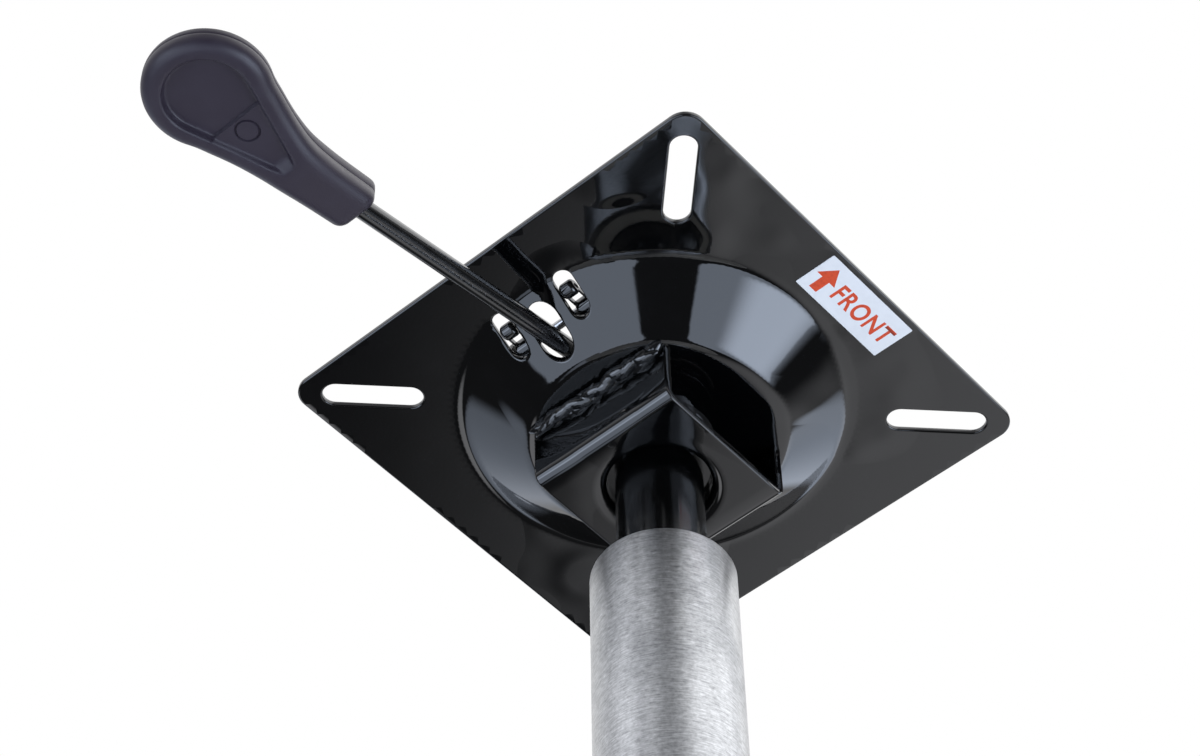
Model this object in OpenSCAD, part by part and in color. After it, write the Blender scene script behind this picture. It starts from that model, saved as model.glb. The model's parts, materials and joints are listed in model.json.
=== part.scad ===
// Boat seat pedestal with a gas lift, a swivel and a side lever.
// Millimetres. The origin is on the floor under the middle of the post, +Z is up.
// The front edge of the seat plate faces -Y, and the lever reaches out to -X.

/* [Floor base] */
// Radius of the round floor base
base_r = 114.3; // [100:0.1:130]
// Thickness of the base's flat rim
rim_t = 4.5; // [3.5:0.1:7]
// Width of the base's flat rim
rim_w = 27; // [24:0.5:32]
// Thickness of the domed wall between rim and hub
dome_t = 4; // [3:0.1:6]
// Height of the dome where it meets the hub
dome_h = 15; // [12:0.5:24]
// Wall of the hub round the post
hub_wall = 5; // [3.5:0.1:8]
// Height of the hub's top above the floor
hub_h = 29; // [26:0.5:45]
// Radius of the rim's upper edge
rim_round = 2; // [1:0.1:3]
// Thickness of the ledge that the post stands on
ledge_t = 3; // [2:0.1:5]
// Distance of the floor screws from the base's edge
bolt_edge = 13.3; // [12:0.1:15]
// Radius of each floor screw hole
bolt_r = 3.4; // [2.5:0.1:4.5]
// Radius of each countersink at the top face
sink_r = 6.6; // [5:0.1:8]
// Number of floor screws
bolt_n = 6; // [3:1:8]
// Radius of the fillet between dome and hub
hub_fillet = 5; // [3:0.1:8]
// Leg of the weld between hub and post
foot_weld_leg = 3.5; // [2:0.1:4.5]

/* [Post] */
// Outer radius of the aluminium post
post_r = 22.5; // [21:0.1:26]
// Wall of the post
post_wall = 2.5; // [1.5:0.1:3]
// Length of the post
post_len = 254.5; // [245:0.5:262]
// Chamfer on the post's upper rim
post_chamfer = 0.4; // [0.2:0.1:0.8]
// Length of the guide bush
bush_len = 62; // [40:1:80]
// Depth of the guide bush below the post's rim
bush_drop = 1; // [0.5:0.1:3]

/* [Swivel bearing] */
// Height of the column foot's underside above the post's lower end
foot_rise = 6; // [5:0.1:10]
// Thickness of the column foot
foot_t = 6; // [4:0.1:9]
// Outer radius of the bearing races
race_r = 13; // [12.6:0.1:14]
// Thickness of each race
race_t = 2.5; // [2:0.1:4]
// Radius of the bearing balls
ball_r = 2; // [1.7:0.05:2.3]
// Radius of the circle that the balls run on
ball_circle_r = 9; // [8.6:0.1:9.4]
// Number of bearing balls
ball_n = 10; // [6:1:12]
// Thickness of the ball cage
cage_t = 1.5; // [1:0.1:2]
// Thickness of the retaining clip under the foot
clip_t = 1.1; // [0.8:0.1:1.5]
// Radial width of the retaining clip
clip_w = 3.2; // [2.5:0.1:4]

/* [Gas spring] */
// Travel of the seat from its lowest to its highest place
stroke = 100; // [60:1:110]
// Radius of the black cylinder tube
tube_r = 14; // [13.5:0.1:15]
// Wall of the cylinder tube
tube_wall = 2; // [1.6:0.1:2.4]
// Length of the cylinder tube
tube_len = 286.2; // [280:0.2:296]
// Half angle of the cylinder's upper taper
taper_deg = 1.43; // [1:0.01:1.8]
// Radius of the piston rod
rod_r = 5; // [4.6:0.1:5.4]
// Radius of the rod's lower spigot
spigot_r = 4; // [3.6:0.1:4.3]
// Outer radius of the inner pressure tube
inner_r = 10.5; // [10.2:0.1:11]
// Wall of the inner pressure tube
inner_wall = 1; // [0.8:0.1:1.4]
// Height of the rubber bump stop
bump_h = 19.8; // [14:0.2:24]
// Outer radius of the bump stop
bump_r = 11; // [9:0.1:12]
// Thickness of the cylinder's rolled lower lip
lip_t = 1.5; // [1:0.1:2.5]
// Height of the rod seal
seal_h = 5; // [4:0.1:7]
// Height of the rod guide's disc
guide_h = 14; // [10:0.5:18]
// Height of the spigots that centre the pressure tube
centre_h = 5; // [4:0.1:7]
// Height of the piston
piston_h = 10; // [8:0.5:14]
// Radius of the ring on the piston
ring_r = 1.2; // [1:0.05:1.5]
// Height of the piston's nut
nut_h = 6; // [4:0.1:7]
// Distance across the nut's flats
nut_af = 13; // [11:0.1:14]
// Height of the valve body's disc
valve_h = 23.5; // [20:0.5:28]
// Depth of the valve body's top below the tube's top
valve_drop = 1; // [0.5:0.1:2]
// Radius of the release pin's head
pin_r = 3.5; // [3:0.1:4]
// Radius of the release pin's stem
stem_r = 1.5; // [1.2:0.1:1.8]
// Height of the release pin's head above the tube
pin_up = 5.7; // [5:0.1:6.5]
// Height of the part of the release pin's head inside the valve body
pin_head_h = 7.5; // [6:0.1:9]
// Travel of the release pin
pin_travel = 3.6; // [3:0.1:4]

/* [Seat plate] */
// Side of the square seat plate
plate_side = 168; // [160:0.5:190]
// Thickness of the seat plate
plate_t = 2; // [1.6:0.1:2.4]
// Corner radius of the seat plate
corner_r = 7; // [4:0.5:10]
// Height of the seat plate's underside above the tube's top
plate_up = 9.5; // [9:0.1:10.5]
// Radius at which the dish turns down from the flange
dish_r = 62.8; // [61.5:0.1:66]
// Depth of the dish
dish_d = 16.5; // [15.5:0.1:17.5]
// Slope of the dish's wall
dish_deg = 37; // [36:0.5:39]
// Bend radius at the dish's rim
rim_bend = 6; // [4:0.5:8]
// Bend radius at the dish's floor
floor_bend = 6; // [4:0.5:7]
// Half width of each seat bolt slot
slot_r = 4.3; // [3.5:0.1:5]
// Distance of a bolt slot's inner end from the dish's rim
slot_rim_gap = 12.6; // [10:0.1:16]
// Distance of a bolt slot's outer end from the plate's corner
slot_corner_gap = 7.9; // [6:0.1:16]

/* [Lever openings in the dish] */
// Half width of the opening that the lever passes
mouth_r = 5.4; // [4.8:0.1:6]
// Distance of the lever opening's inner end from the dish's rim
mouth_in = 19.3; // [18.8:0.1:20]
// Distance of the lever opening's outer end from the dish's rim
mouth_out = 2.8; // [2:0.1:5]
// Half width of the windows beside the lever opening
window_r = 3.3; // [3.2:0.1:3.5]
// Distance of each window's middle from the lever's line
window_y = 12.8; // [12.7:0.1:13.2]
// Distance of a window's inner end from the dish's rim
window_in = 13.6; // [13.4:0.1:15]
// Distance that a window runs past the dish's rim
window_out = 0.4; // [0:0.1:1]
// Radius of the ears that hold the pivot pin
ear_r = 3.6; // [3:0.1:3.8]

/* [Bracket and socket] */
// Width of the channel bracket
bracket_w = 57.5; // [54:0.5:60]
// Length of the channel bracket
bracket_len = 54.5; // [48:0.5:56]
// Height of the channel bracket
bracket_h = 22.8; // [21:0.2:26]
// Thickness of the bracket's sheet
bracket_t = 3; // [2.5:0.1:3.5]
// Outer bend radius of the bracket
bracket_bend = 4; // [3.6:0.1:5]
// Radius of the bracket's drawn collar
collar_r = 16.5; // [16.2:0.1:17.5]
// Radius of the collar's rounded entry
collar_bend = 3.7; // [3:0.1:4.5]
// Height of the collar above the bracket's underside
collar_h = 9; // [8:0.1:11]
// Wall of the drawn collar
collar_wall = 2.5; // [2:0.1:3]
// Depth of the taper socket inside the collar
socket_in = 2.7; // [1.5:0.1:4]
// Leg of the weld round the socket
socket_weld_leg = 2; // [1.2:0.1:2.2]
// Radius of the weld runs along the bracket
weld_r = 2.8; // [2:0.1:3.4]
// Number of beads in each weld run
weld_n = 15; // [10:1:20]

/* [Lever] */
// Distance from the dish's rim in to the pivot pin
pivot_in = 14.6; // [14.4:0.1:15.5]
// Depth of the pivot pin below the flange's underside
pivot_drop = 2; // [1.8:0.1:2.2]
// Radius of the pivot pin
pivot_r = 1.5; // [1.3:0.05:1.6]
// Thickness of the rocker's sheet
rocker_t = 1.8; // [1.5:0.1:1.9]
// Width of each rocker arm
arm_w = 5; // [4:0.1:5.2]
// Depth of the rocker's flat below its arms
rocker_step = 3.05; // [2.7:0.05:3.2]
// Radius of the rocker's rounded tip
tip_r = 7.5; // [5:0.1:9]
// Radius of the lever rod
lever_r = 3.2; // [2.9:0.1:3.4]
// Distance from the post's middle to the lever rod's inner end
lever_end = 19.5; // [19:0.1:24]
// Distance from the post's middle to the lever rod's inner bend
lever_bend_in = 35.5; // [34.5:0.1:36]
// Distance from the post's middle to the lever rod's outer bend
lever_bend_out = 165; // [158:0.5:168]
// Downward slope of the lever rod
lever_deg = 12; // [11.5:0.1:12.5]
// How much the lever rod bulges at its bends
bend_swell = 0.06; // [0.04:0.01:0.1]
// Length of the lever rod inside the handle after its bend
lever_tail = 10; // [6:0.5:12]

/* [Handle] */
// Radius of the handle's round head
head_r = 19; // [17:0.1:21]
// Distance from the lever's outer bend to the middle of the head
head_x = 33; // [30:0.5:38]
// Thickness of the handle's head
head_t = 10; // [8:0.1:12]
// Width of the handle's neck
neck_w = 16.5; // [14:0.1:18]
// Thickness of the handle's neck
neck_t = 13; // [12:0.1:14]
// Length of the neck inboard of the lever's outer bend
neck_x = 29; // [24:0.5:34]
// Edge radius of the handle
handle_edge = 4; // [3:0.1:4.8]
// Depth of the pocket in the handle's underside
pocket_d = 1.6; // [1:0.1:2.5]
// Width of the border round that pocket
pocket_edge = 4.6; // [3.5:0.1:6]
// Distance from the head's middle to the step in the pocket's floor
pocket_step = 11.3; // [9:0.1:13]
// Distance from the head's middle to the pocket's narrow end
pocket_len = 31; // [28:0.5:33]
// Radius of the pocket's narrow end
pocket_end_r = 2.4; // [1.5:0.1:3.5]
// Distance from the head's middle to the small moulded ring
ring_mark_gap = 16; // [15:0.1:18]
// Radius of the small moulded ring in the pocket
ring_mark_r = 3.7; // [2.5:0.1:4]

/* [Label] */
// Length of the label under the front edge
label_w = 40.3; // [30:0.1:50]
// Thickness of the label
label_t = 0.2; // [0.1:0.05:0.4]
// Distance of the label's middle from the plate's middle line
label_x = 9.2; // [-20:0.1:20]
// Gap between the label and the plate's front edge
label_gap = 1.9; // [1:0.1:4]
// Distance of the label's rear edge from the dish's rim
label_rim_gap = 3.9; // [3:0.1:6]

/* [Fits] */
// Radial clearance of sliding and turning fits
run_gap = 0.05; // [0.03:0.01:0.08]
// Clearance of pieces that are pressed or welded together
seat_gap = 0.02; // [0.01:0.01:0.05]
// Clearance of the lever rod in its moulded handle
handle_gap = 0.1; // [0.05:0.01:0.15]
// Clearance between neighbours that move and don't touch
air_gap = 0.3; // [0.25:0.05:0.4]

/* [Hidden] */
$fn = 96;
eps = 0.01;

// Places that follow from the outlines
bolt_circle_r = base_r - bolt_edge;
slot_in = dish_r + slot_rim_gap;
slot_out = (plate_side / 2 - corner_r) * sqrt(2) + corner_r - slot_corner_gap;
label_h = plate_side / 2 - label_gap - dish_r - label_rim_gap;

// Heights from the floor up
ledge_low = 1;
ledge_w = 2.5;
post_z = ledge_low + ledge_t;
post_top = post_z + post_len;
foot_z = post_z + foot_rise;
foot_top = foot_z + foot_t;
groove_gap = run_gap;
groove_d = ball_r / 4;
ball_z = foot_top + race_t - groove_d + ball_r + groove_gap;
shoulder_z = ball_z + ball_r + groove_gap - groove_d + race_t;
bump_z = shoulder_z + seat_gap;
tube_z = bump_z + bump_h + air_gap;
tube_top = tube_z + tube_len;
plate_z = tube_top + plate_up;
floor_z = plate_z - dish_d;
web_z = floor_z - bracket_h;
socket_z = web_z + collar_h - socket_in;
seal_z = tube_z + lip_t;
guide_z = seal_z + seal_h;
inner_z = guide_z + guide_h;
valve_top = tube_top - valve_drop;
valve_z = valve_top - valve_h;
piston_spare = 2;
piston_z = inner_z + centre_h + stroke + piston_spare;
rod_top = piston_z + piston_h + nut_h;

// Radii that follow from their neighbours
bore_r = post_r - post_wall;
tube_bore = tube_r - tube_wall;
inner_bore = inner_r - inner_wall;
taper_top_r = tube_r - (tube_top - socket_z) * tan(taper_deg);
socket_r = collar_r - seat_gap;
clip_groove_d = 0.8;
rod_hole_r = rod_r + 1;
seal_lip = 1.6;
valve_seal_r = 1.2;
gas_hole_r = 1;

// The dish's outline, at a height above the sheet's underside
floor_corner = dish_r - dish_d / tan(dish_deg);
rim_run = rim_bend * tan(dish_deg / 2);
floor_run = floor_bend * tan(dish_deg / 2);
dish_edge = dish_r + rim_run + 3;
function arc(c, r, a0, a1, n) =
    [for (i = [0:n]) let (a = a0 + (a1 - a0) * i / n) [c[0] + r * cos(a), c[1] + r * sin(a)]];
function reversed(list) = [for (i = [len(list) - 1:-1:0]) list[i]];
function dish_line(up) = concat(
    arc([dish_r + rim_run, -rim_bend], rim_bend + up, 90, 90 + dish_deg, 8),
    arc([floor_corner - floor_run, floor_bend - dish_d], floor_bend - up, dish_deg - 90, -90, 8));

// The lever's places, in the vertical plane through its rod
pivot_x = dish_r - pivot_in;
pivot_z = plate_z - pivot_drop;
knuckle_bore = pivot_r + run_gap;
knuckle_r = knuckle_bore + rocker_t;
arm_under = pivot_z + knuckle_bore;
flat_under = arm_under - rocker_step;
arm_offset = 0.1;
arm_y = window_y - arm_w / 2 - arm_offset;
step_start_gap = 3.3;
step_end_gap = 2.1;
step_x = pivot_x - step_start_gap;
step_end = lever_bend_in + step_end_gap;
lever_z = flat_under - lever_r;
handle_z = lever_z - (lever_bend_out - lever_bend_in) * tan(lever_deg);
handle_x = lever_bend_out - neck_x;
head_mid = lever_bend_out + head_x;
ear_y = window_y + window_r;
pin_end = 0.5;
pivot_half = ear_y + plate_t + pin_end;

// A ring with a rectangular section
module ring(r_out, r_in, z, h) {
    translate([0, 0, z]) difference() {
        cylinder(r = r_out, h = h);
        translate([0, 0, -1]) cylinder(r = r_in, h = h + 2);
    }
}

// A cylinder along Y, centred on Y = 0
module y_cylinder(r, len, x, z) {
    translate([x, len / 2, z]) rotate([90, 0, 0]) cylinder(r = r, h = len);
}

// A round-ended bar along X from x0 to x1, both ends included
module slot_bar(x0, x1, r, z, h) {
    translate([x0 + r, 0, z]) cylinder(r = r, h = h);
    translate([x1 - r, 0, z]) cylinder(r = r, h = h);
    translate([x0 + r, -r, z]) cube([x1 - x0 - 2 * r, 2 * r, h]);
}

// A straight round bar between two points of the plane Y = 0
module bar(x0, z0, x1, z1, r) {
    run = x1 - x0;
    rise = z1 - z0;
    translate([x0, 0, z0]) rotate([0, atan2(run, rise), 0])
        cylinder(r = r, h = sqrt(run * run + rise * rise));
}

// Floor base

module base_flange() {
    hub_r = post_r + hub_wall;
    rim_in = base_r - rim_w;
    under_h = dome_h - dome_t;
    color([0.72, 0.73, 0.74]) difference() {
        rotate_extrude() polygon(concat(
            [[base_r, 0], [base_r, rim_t - rim_round]],
            arc([base_r - rim_round, rim_t - rim_round], rim_round, 0, 90, 5),
            [[rim_in, rim_t]],
            arc([hub_r + hub_fillet, dome_h + hub_fillet], hub_fillet, 260, 180, 6),
            [[hub_r, hub_h - 1], [hub_r - 1, hub_h], [post_r + seat_gap, hub_h],
             [post_r + seat_gap, post_z], [bore_r - ledge_w, post_z], [bore_r - ledge_w, ledge_low],
             [hub_r - 1, ledge_low], [hub_r, ledge_low + 1], [hub_r, under_h - 0.6],
             [hub_r + 2, under_h], [rim_in - 1, rim_t - dome_t], [rim_in, 0]]));
        for (i = [0:bolt_n - 1]) rotate([0, 0, 360 * i / bolt_n + 30])
            translate([bolt_circle_r, 0, 0]) {
                translate([0, 0, -1]) cylinder(r = bolt_r, h = rim_t + 2);
                translate([0, 0, rim_t - (sink_r - bolt_r)])
                    cylinder(r1 = bolt_r, r2 = sink_r + eps, h = sink_r - bolt_r + eps);
            }
    }
}

module foot_weld() {
    color([0.66, 0.67, 0.68]) rotate_extrude() polygon([
        [post_r + seat_gap, hub_h], [post_r + foot_weld_leg, hub_h],
        [post_r + foot_weld_leg * 0.55, hub_h + foot_weld_leg * 0.62],
        [post_r + seat_gap, hub_h + foot_weld_leg]]);
}

// Post and its bush

module post_tube() {
    color([0.78, 0.79, 0.8]) rotate_extrude() polygon([
        [bore_r, post_z], [post_r, post_z], [post_r, post_top - post_chamfer],
        [post_r - post_chamfer, post_top], [bore_r + post_chamfer, post_top],
        [bore_r, post_top - post_chamfer]]);
}

module guide_bush() {
    low = post_top - bush_drop - bush_len;
    outer = bore_r - seat_gap;
    inner = tube_r + run_gap;
    relief = 0.8;
    land = 12;
    color([0.9, 0.9, 0.86]) rotate_extrude() polygon([
        [inner + 1, low], [outer, low], [outer, low + land], [outer - relief, low + land + 1],
        [outer - relief, low + bush_len - land - 1], [outer, low + bush_len - land],
        [outer, low + bush_len], [inner + 0.6, low + bush_len], [inner, low + bush_len - 0.6],
        [inner, low + 1]]);
}

module column_foot() {
    color([0.6, 0.61, 0.62]) difference() {
        union() {
            translate([0, 0, foot_z]) cylinder(r = bore_r - seat_gap, h = foot_t);
            ring(bore_r - seat_gap, bore_r - ledge_w, post_z, foot_rise + eps);
        }
        translate([0, 0, post_z - 1]) cylinder(r = spigot_r + run_gap, h = foot_rise + foot_t + 2);
    }
}

// Swivel bearing

module race(z, groove_z) {
    difference() {
        ring(race_r, spigot_r + run_gap, z, race_t);
        translate([0, 0, groove_z]) rotate_extrude()
            translate([ball_circle_r, 0]) circle(r = ball_r + groove_gap, $fn = 48);
    }
}

module lower_race() {
    color([0.62, 0.63, 0.65]) race(foot_top, ball_z);
}

module upper_race() {
    color([0.62, 0.63, 0.65]) race(shoulder_z - race_t, ball_z);
}

module ball_cage() {
    color([0.8, 0.66, 0.3]) difference() {
        ring(race_r - 0.5, spigot_r + 1.2, ball_z - cage_t / 2, cage_t);
        for (i = [0:ball_n - 1]) rotate([0, 0, 360 * i / ball_n])
            translate([ball_circle_r, 0, ball_z - cage_t])
                cylinder(r = ball_r + run_gap, h = 2 * cage_t, $fn = 48);
    }
}

module bearing_balls() {
    color([0.8, 0.81, 0.83]) for (i = [0:ball_n - 1]) rotate([0, 0, 360 * i / ball_n])
        translate([ball_circle_r, 0, ball_z]) sphere(r = ball_r, $fn = 48);
}

// Piston rod and what turns with it

module piston_rod() {
    groove_z = foot_z - air_gap - clip_t;
    end_z = groove_z - 2;
    color([0.82, 0.83, 0.85]) rotate_extrude() polygon([
        [0, end_z], [spigot_r - 0.6, end_z], [spigot_r, end_z + 0.6], [spigot_r, groove_z],
        [spigot_r - clip_groove_d, groove_z], [spigot_r - clip_groove_d, groove_z + clip_t],
        [spigot_r, groove_z + clip_t], [spigot_r, shoulder_z], [rod_r, shoulder_z],
        [rod_r, piston_z], [spigot_r, piston_z], [spigot_r, rod_top + 1.4],
        [spigot_r - 0.6, rod_top + 2], [0, rod_top + 2]]);
}

module rod_clip() {
    z = foot_z - air_gap - clip_t;
    inner = spigot_r - clip_groove_d + seat_gap;
    color([0.3, 0.3, 0.32]) difference() {
        ring(inner + clip_w, inner, z + seat_gap, clip_t - 2 * seat_gap);
        translate([0, -inner * 0.8, z - 1]) cube([inner + clip_w + 1, inner * 1.6, clip_t + 2]);
    }
}

module bump_stop() {
    inner = rod_r + run_gap;
    waist = bump_r - 1.6;
    color([0.12, 0.12, 0.12]) rotate_extrude() polygon(concat(
        [[inner, bump_z], [bump_r, bump_z], [bump_r, bump_z + 4]],
        arc([bump_r + 3.2, bump_z + bump_h / 2], 4.8, 222, 138, 6),
        [[bump_r, bump_z + bump_h - 4], [bump_r, bump_z + bump_h - 1],
         [bump_r - 1, bump_z + bump_h], [inner, bump_z + bump_h]]));
}

module piston() {
    outer = inner_bore - run_gap;
    mid = piston_z + piston_h / 2;
    color([0.75, 0.68, 0.45]) difference() {
        ring(outer, spigot_r + seat_gap, piston_z, piston_h);
        translate([0, 0, mid]) rotate_extrude() translate([inner_bore - run_gap - ring_r, 0]) {
            circle(r = ring_r, $fn = 32);
            translate([0, -ring_r]) square([ring_r + 1, 2 * ring_r]);
        }
    }
}

module piston_ring() {
    mid = piston_z + piston_h / 2;
    color([0.1, 0.1, 0.1]) translate([0, 0, mid]) rotate_extrude()
        translate([inner_bore - run_gap - ring_r, 0]) circle(r = ring_r - seat_gap, $fn = 32);
}

module piston_nut() {
    color([0.7, 0.71, 0.73]) translate([0, 0, piston_z + piston_h]) difference() {
        cylinder(r = nut_af / 2 / cos(30), h = nut_h, $fn = 6);
        translate([0, 0, -1]) cylinder(r = spigot_r + seat_gap, h = nut_h + 2);
    }
}

// Gas cylinder, which rises with the seat

module gas_cylinder() {
    top_lip = 0.8;
    color([0.05, 0.05, 0.055]) rotate_extrude() polygon([
        [rod_hole_r, tube_z], [tube_r - lip_t, tube_z], [tube_r, tube_z + lip_t],
        [tube_r, socket_z], [taper_top_r, tube_top - 0.6], [taper_top_r - 0.6, tube_top],
        [tube_bore - top_lip, tube_top], [tube_bore - top_lip, valve_top],
        [tube_bore, valve_top], [tube_bore, seal_z], [rod_hole_r, seal_z]]);
}

// The hole through which gas passes from the pressure tube to the outer tube
module gas_hole() {
    translate([0, 0, valve_z - centre_h * 0.6]) rotate([0, 90, 0])
        cylinder(r = gas_hole_r, h = 4 * inner_r, center = true);
}

module pressure_tube() {
    color([0.7, 0.71, 0.73]) difference() {
        ring(inner_r, inner_bore, inner_z, valve_z - inner_z);
        gas_hole();
    }
}

module rod_guide() {
    color([0.82, 0.8, 0.7]) difference() {
        union() {
            translate([0, 0, guide_z]) cylinder(r = tube_bore - seat_gap, h = guide_h);
            translate([0, 0, guide_z]) cylinder(r = inner_bore - seat_gap, h = guide_h + centre_h);
        }
        translate([0, 0, guide_z - 1]) cylinder(r = rod_r + run_gap, h = guide_h + centre_h + 2);
        for (i = [0:3]) rotate([0, 0, 90 * i + 45])
            translate([(inner_r + tube_bore) / 2, 0, guide_z + 2]) cylinder(r = 0.6, h = guide_h);
    }
}

module rod_seal() {
    color([0.1, 0.1, 0.1]) rotate_extrude() polygon([
        [rod_r + run_gap, seal_z], [tube_bore - seat_gap, seal_z],
        [tube_bore - seat_gap, guide_z - seat_gap], [rod_r + seal_lip + 1, guide_z - seat_gap],
        [rod_r + seal_lip, seal_z + seal_h * 0.44], [rod_r + run_gap, guide_z - 1]]);
}

module valve_body() {
    seat_low = valve_z - centre_h;
    head_room = pin_travel + pin_head_h + 0.5;
    seal_z_mid = valve_z + valve_h * 0.35;
    color([0.78, 0.7, 0.42]) difference() {
        union() {
            translate([0, 0, valve_z]) cylinder(r = tube_bore - seat_gap, h = valve_h);
            translate([0, 0, seat_low]) cylinder(r = inner_bore - seat_gap, h = centre_h + eps);
        }
        translate([0, 0, valve_top - head_room]) cylinder(r = pin_r + run_gap, h = head_room + 1);
        translate([0, 0, seat_low - 1]) cylinder(r = stem_r + run_gap, h = valve_h + centre_h);
        gas_hole();
        translate([0, 0, seal_z_mid]) rotate_extrude() translate([tube_bore - valve_seal_r, 0]) {
            circle(r = valve_seal_r, $fn = 32);
            translate([0, -valve_seal_r]) square([2 * valve_seal_r, 2 * valve_seal_r]);
        }
    }
}

module valve_seal() {
    color([0.1, 0.1, 0.1]) translate([0, 0, valve_z + valve_h * 0.35]) rotate_extrude()
        translate([tube_bore - valve_seal_r, 0]) circle(r = valve_seal_r - seat_gap, $fn = 32);
}

module release_pin() {
    head_low = valve_top - pin_head_h;
    stem_low = valve_z - centre_h - 1.5;
    top = tube_top + pin_up;
    color([0.72, 0.73, 0.75]) rotate_extrude() polygon(concat(
        [[0, stem_low - 2.5], [stem_r + 1, stem_low - 2.5], [stem_r + 1, stem_low],
         [stem_r, stem_low + 0.6], [stem_r, head_low], [pin_r, head_low], [pin_r, top - 1.2]],
        arc([pin_r - 1.2, top - 1.2], 1.2, 0, 60, 4), [[0, top]]));
}

// Seat plate, bracket and socket

module taper_socket() {
    top = floor_z + plate_t;
    bore_top = tube_r - (top - socket_z) * tan(taper_deg);
    color([0.06, 0.06, 0.065]) rotate_extrude() polygon([
        [tube_r + seat_gap, socket_z], [socket_r, socket_z],
        [socket_r, top], [bore_top + seat_gap, top]]);
}

module socket_weld() {
    top = floor_z + plate_t;
    color([0.06, 0.06, 0.065]) {
        rotate_extrude() polygon([
            [socket_r - 0.8, top + seat_gap], [socket_r + socket_weld_leg, top + seat_gap],
            [socket_r + socket_weld_leg * 0.5, top + socket_weld_leg * 0.6],
            [socket_r - 0.8, top + socket_weld_leg * 0.8]]);
        rotate_extrude() polygon([
            [socket_r + seat_gap, floor_z - seat_gap],
            [socket_r + socket_weld_leg, floor_z - seat_gap],
            [socket_r + socket_weld_leg * 0.55, floor_z - socket_weld_leg * 0.6],
            [socket_r + seat_gap, floor_z - socket_weld_leg]]);
    }
}

module channel_bracket() {
    half = bracket_w / 2;
    inner_bend = bracket_bend - bracket_t;
    color([0.05, 0.05, 0.055]) difference() {
        union() {
            translate([0, bracket_len / 2, web_z]) rotate([90, 0, 0])
                linear_extrude(height = bracket_len) polygon(concat(
                    arc([bracket_bend - half, bracket_bend], bracket_bend, 180, 270, 6),
                    arc([half - bracket_bend, bracket_bend], bracket_bend, 270, 360, 6),
                    [[half, bracket_h], [half - bracket_t, bracket_h]],
                    arc([half - bracket_bend, bracket_bend], inner_bend, 360, 270, 4),
                    arc([bracket_bend - half, bracket_bend], inner_bend, 270, 180, 4),
                    [[bracket_t - half, bracket_h], [-half, bracket_h]]));
            translate([0, 0, web_z + bracket_t])
                cylinder(r = collar_r + collar_wall, h = collar_h - bracket_t);
        }
        translate([0, 0, web_z]) rotate_extrude() polygon(concat(
            [[0, -1], [collar_r + collar_bend, -1]],
            arc([collar_r + collar_bend, collar_bend], collar_bend, 270, 180, 8),
            [[collar_r, collar_h + 1], [0, collar_h + 1]]));
    }
}

// One weld run in the corner under the dish's floor, on the side that sign names
module weld_run(sign) {
    half = bracket_len / 2;
    pitch = (bracket_len - 2) / (weld_n - 1);
    face = bracket_w / 2 + seat_gap;
    reach = weld_r + 2;
    intersection() {
        for (i = [0:weld_n - 1]) translate([
            sign * (face - 0.4), 1 - half + i * pitch, floor_z + 0.3])
            sphere(r = weld_r * (1 + 0.12 * sin(140 * i)), $fn = 32);
        translate([sign > 0 ? face : -face - reach, -half - reach, floor_z - seat_gap - reach])
            cube([reach, 2 * (half + reach), reach]);
    }
}

module bracket_welds() {
    color([0.08, 0.08, 0.085]) {
        weld_run(-1);
        weld_run(1);
    }
}

module seat_plate() {
    side = plate_side / 2 - corner_r;
    color([0.05, 0.05, 0.055]) translate([0, 0, plate_z]) difference() {
        union() {
            difference() {
                union() {
                    linear_extrude(height = plate_t) difference() {
                        union() {
                            square([plate_side, 2 * side], center = true);
                            square([2 * side, plate_side], center = true);
                            for (x = [-side, side], y = [-side, side])
                                translate([x, y]) circle(r = corner_r);
                        }
                        circle(r = dish_edge - 1);
                    }
                    rotate_extrude() polygon(concat(
                        [[dish_edge, 0]], dish_line(0), [[socket_r + seat_gap, -dish_d],
                        [socket_r + seat_gap, plate_t - dish_d]], reversed(dish_line(plate_t)),
                        [[dish_edge, plate_t]]));
                }
                slot_bar(-dish_r + mouth_out, -dish_r + mouth_in, mouth_r, -dish_d - 1,
                    dish_d + plate_t + 2);
                for (y = [-window_y, window_y]) translate([0, y, 0])
                    slot_bar(-dish_r - window_out, -dish_r + window_in, window_r, -dish_d - 1,
                        dish_d + plate_t + 2);
            }
            pivot_ears();
        }
        y_cylinder(pivot_r + seat_gap, 2 * pivot_half + 2, -pivot_x, -pivot_drop);
        for (a = [45:90:315]) rotate([0, 0, a])
            slot_bar(slot_in, slot_out, slot_r, -1, plate_t + 2);
    }
}

// The two ears that stand up from the dish's wall beside the windows
module pivot_ears() {
    intersection() {
        for (y = [-ear_y - plate_t, ear_y]) translate([-pivot_x, y, 0]) {
            translate([0, plate_t, -pivot_drop]) rotate([90, 0, 0])
                cylinder(r = ear_r, h = plate_t);
            translate([-ear_r, 0, -pivot_drop - 8]) cube([2 * ear_r, plate_t, 8]);
        }
        rotate_extrude() polygon(concat(
            [[dish_edge, plate_t / 2]], dish_line(plate_t / 2),
            [[0, plate_t / 2 - dish_d], [0, plate_t], [dish_edge, plate_t]]));
    }
}

module pivot_pin() {
    color([0.1, 0.1, 0.11]) y_cylinder(pivot_r, 2 * pivot_half, -pivot_x, pivot_z);
}

module front_label() {
    low = -plate_side / 2 + label_gap;
    color([0.95, 0.95, 0.95])
        translate([label_x - label_w / 2, low, plate_z - label_t]) cube([label_w, label_h, label_t]);
}

// Lever

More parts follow.
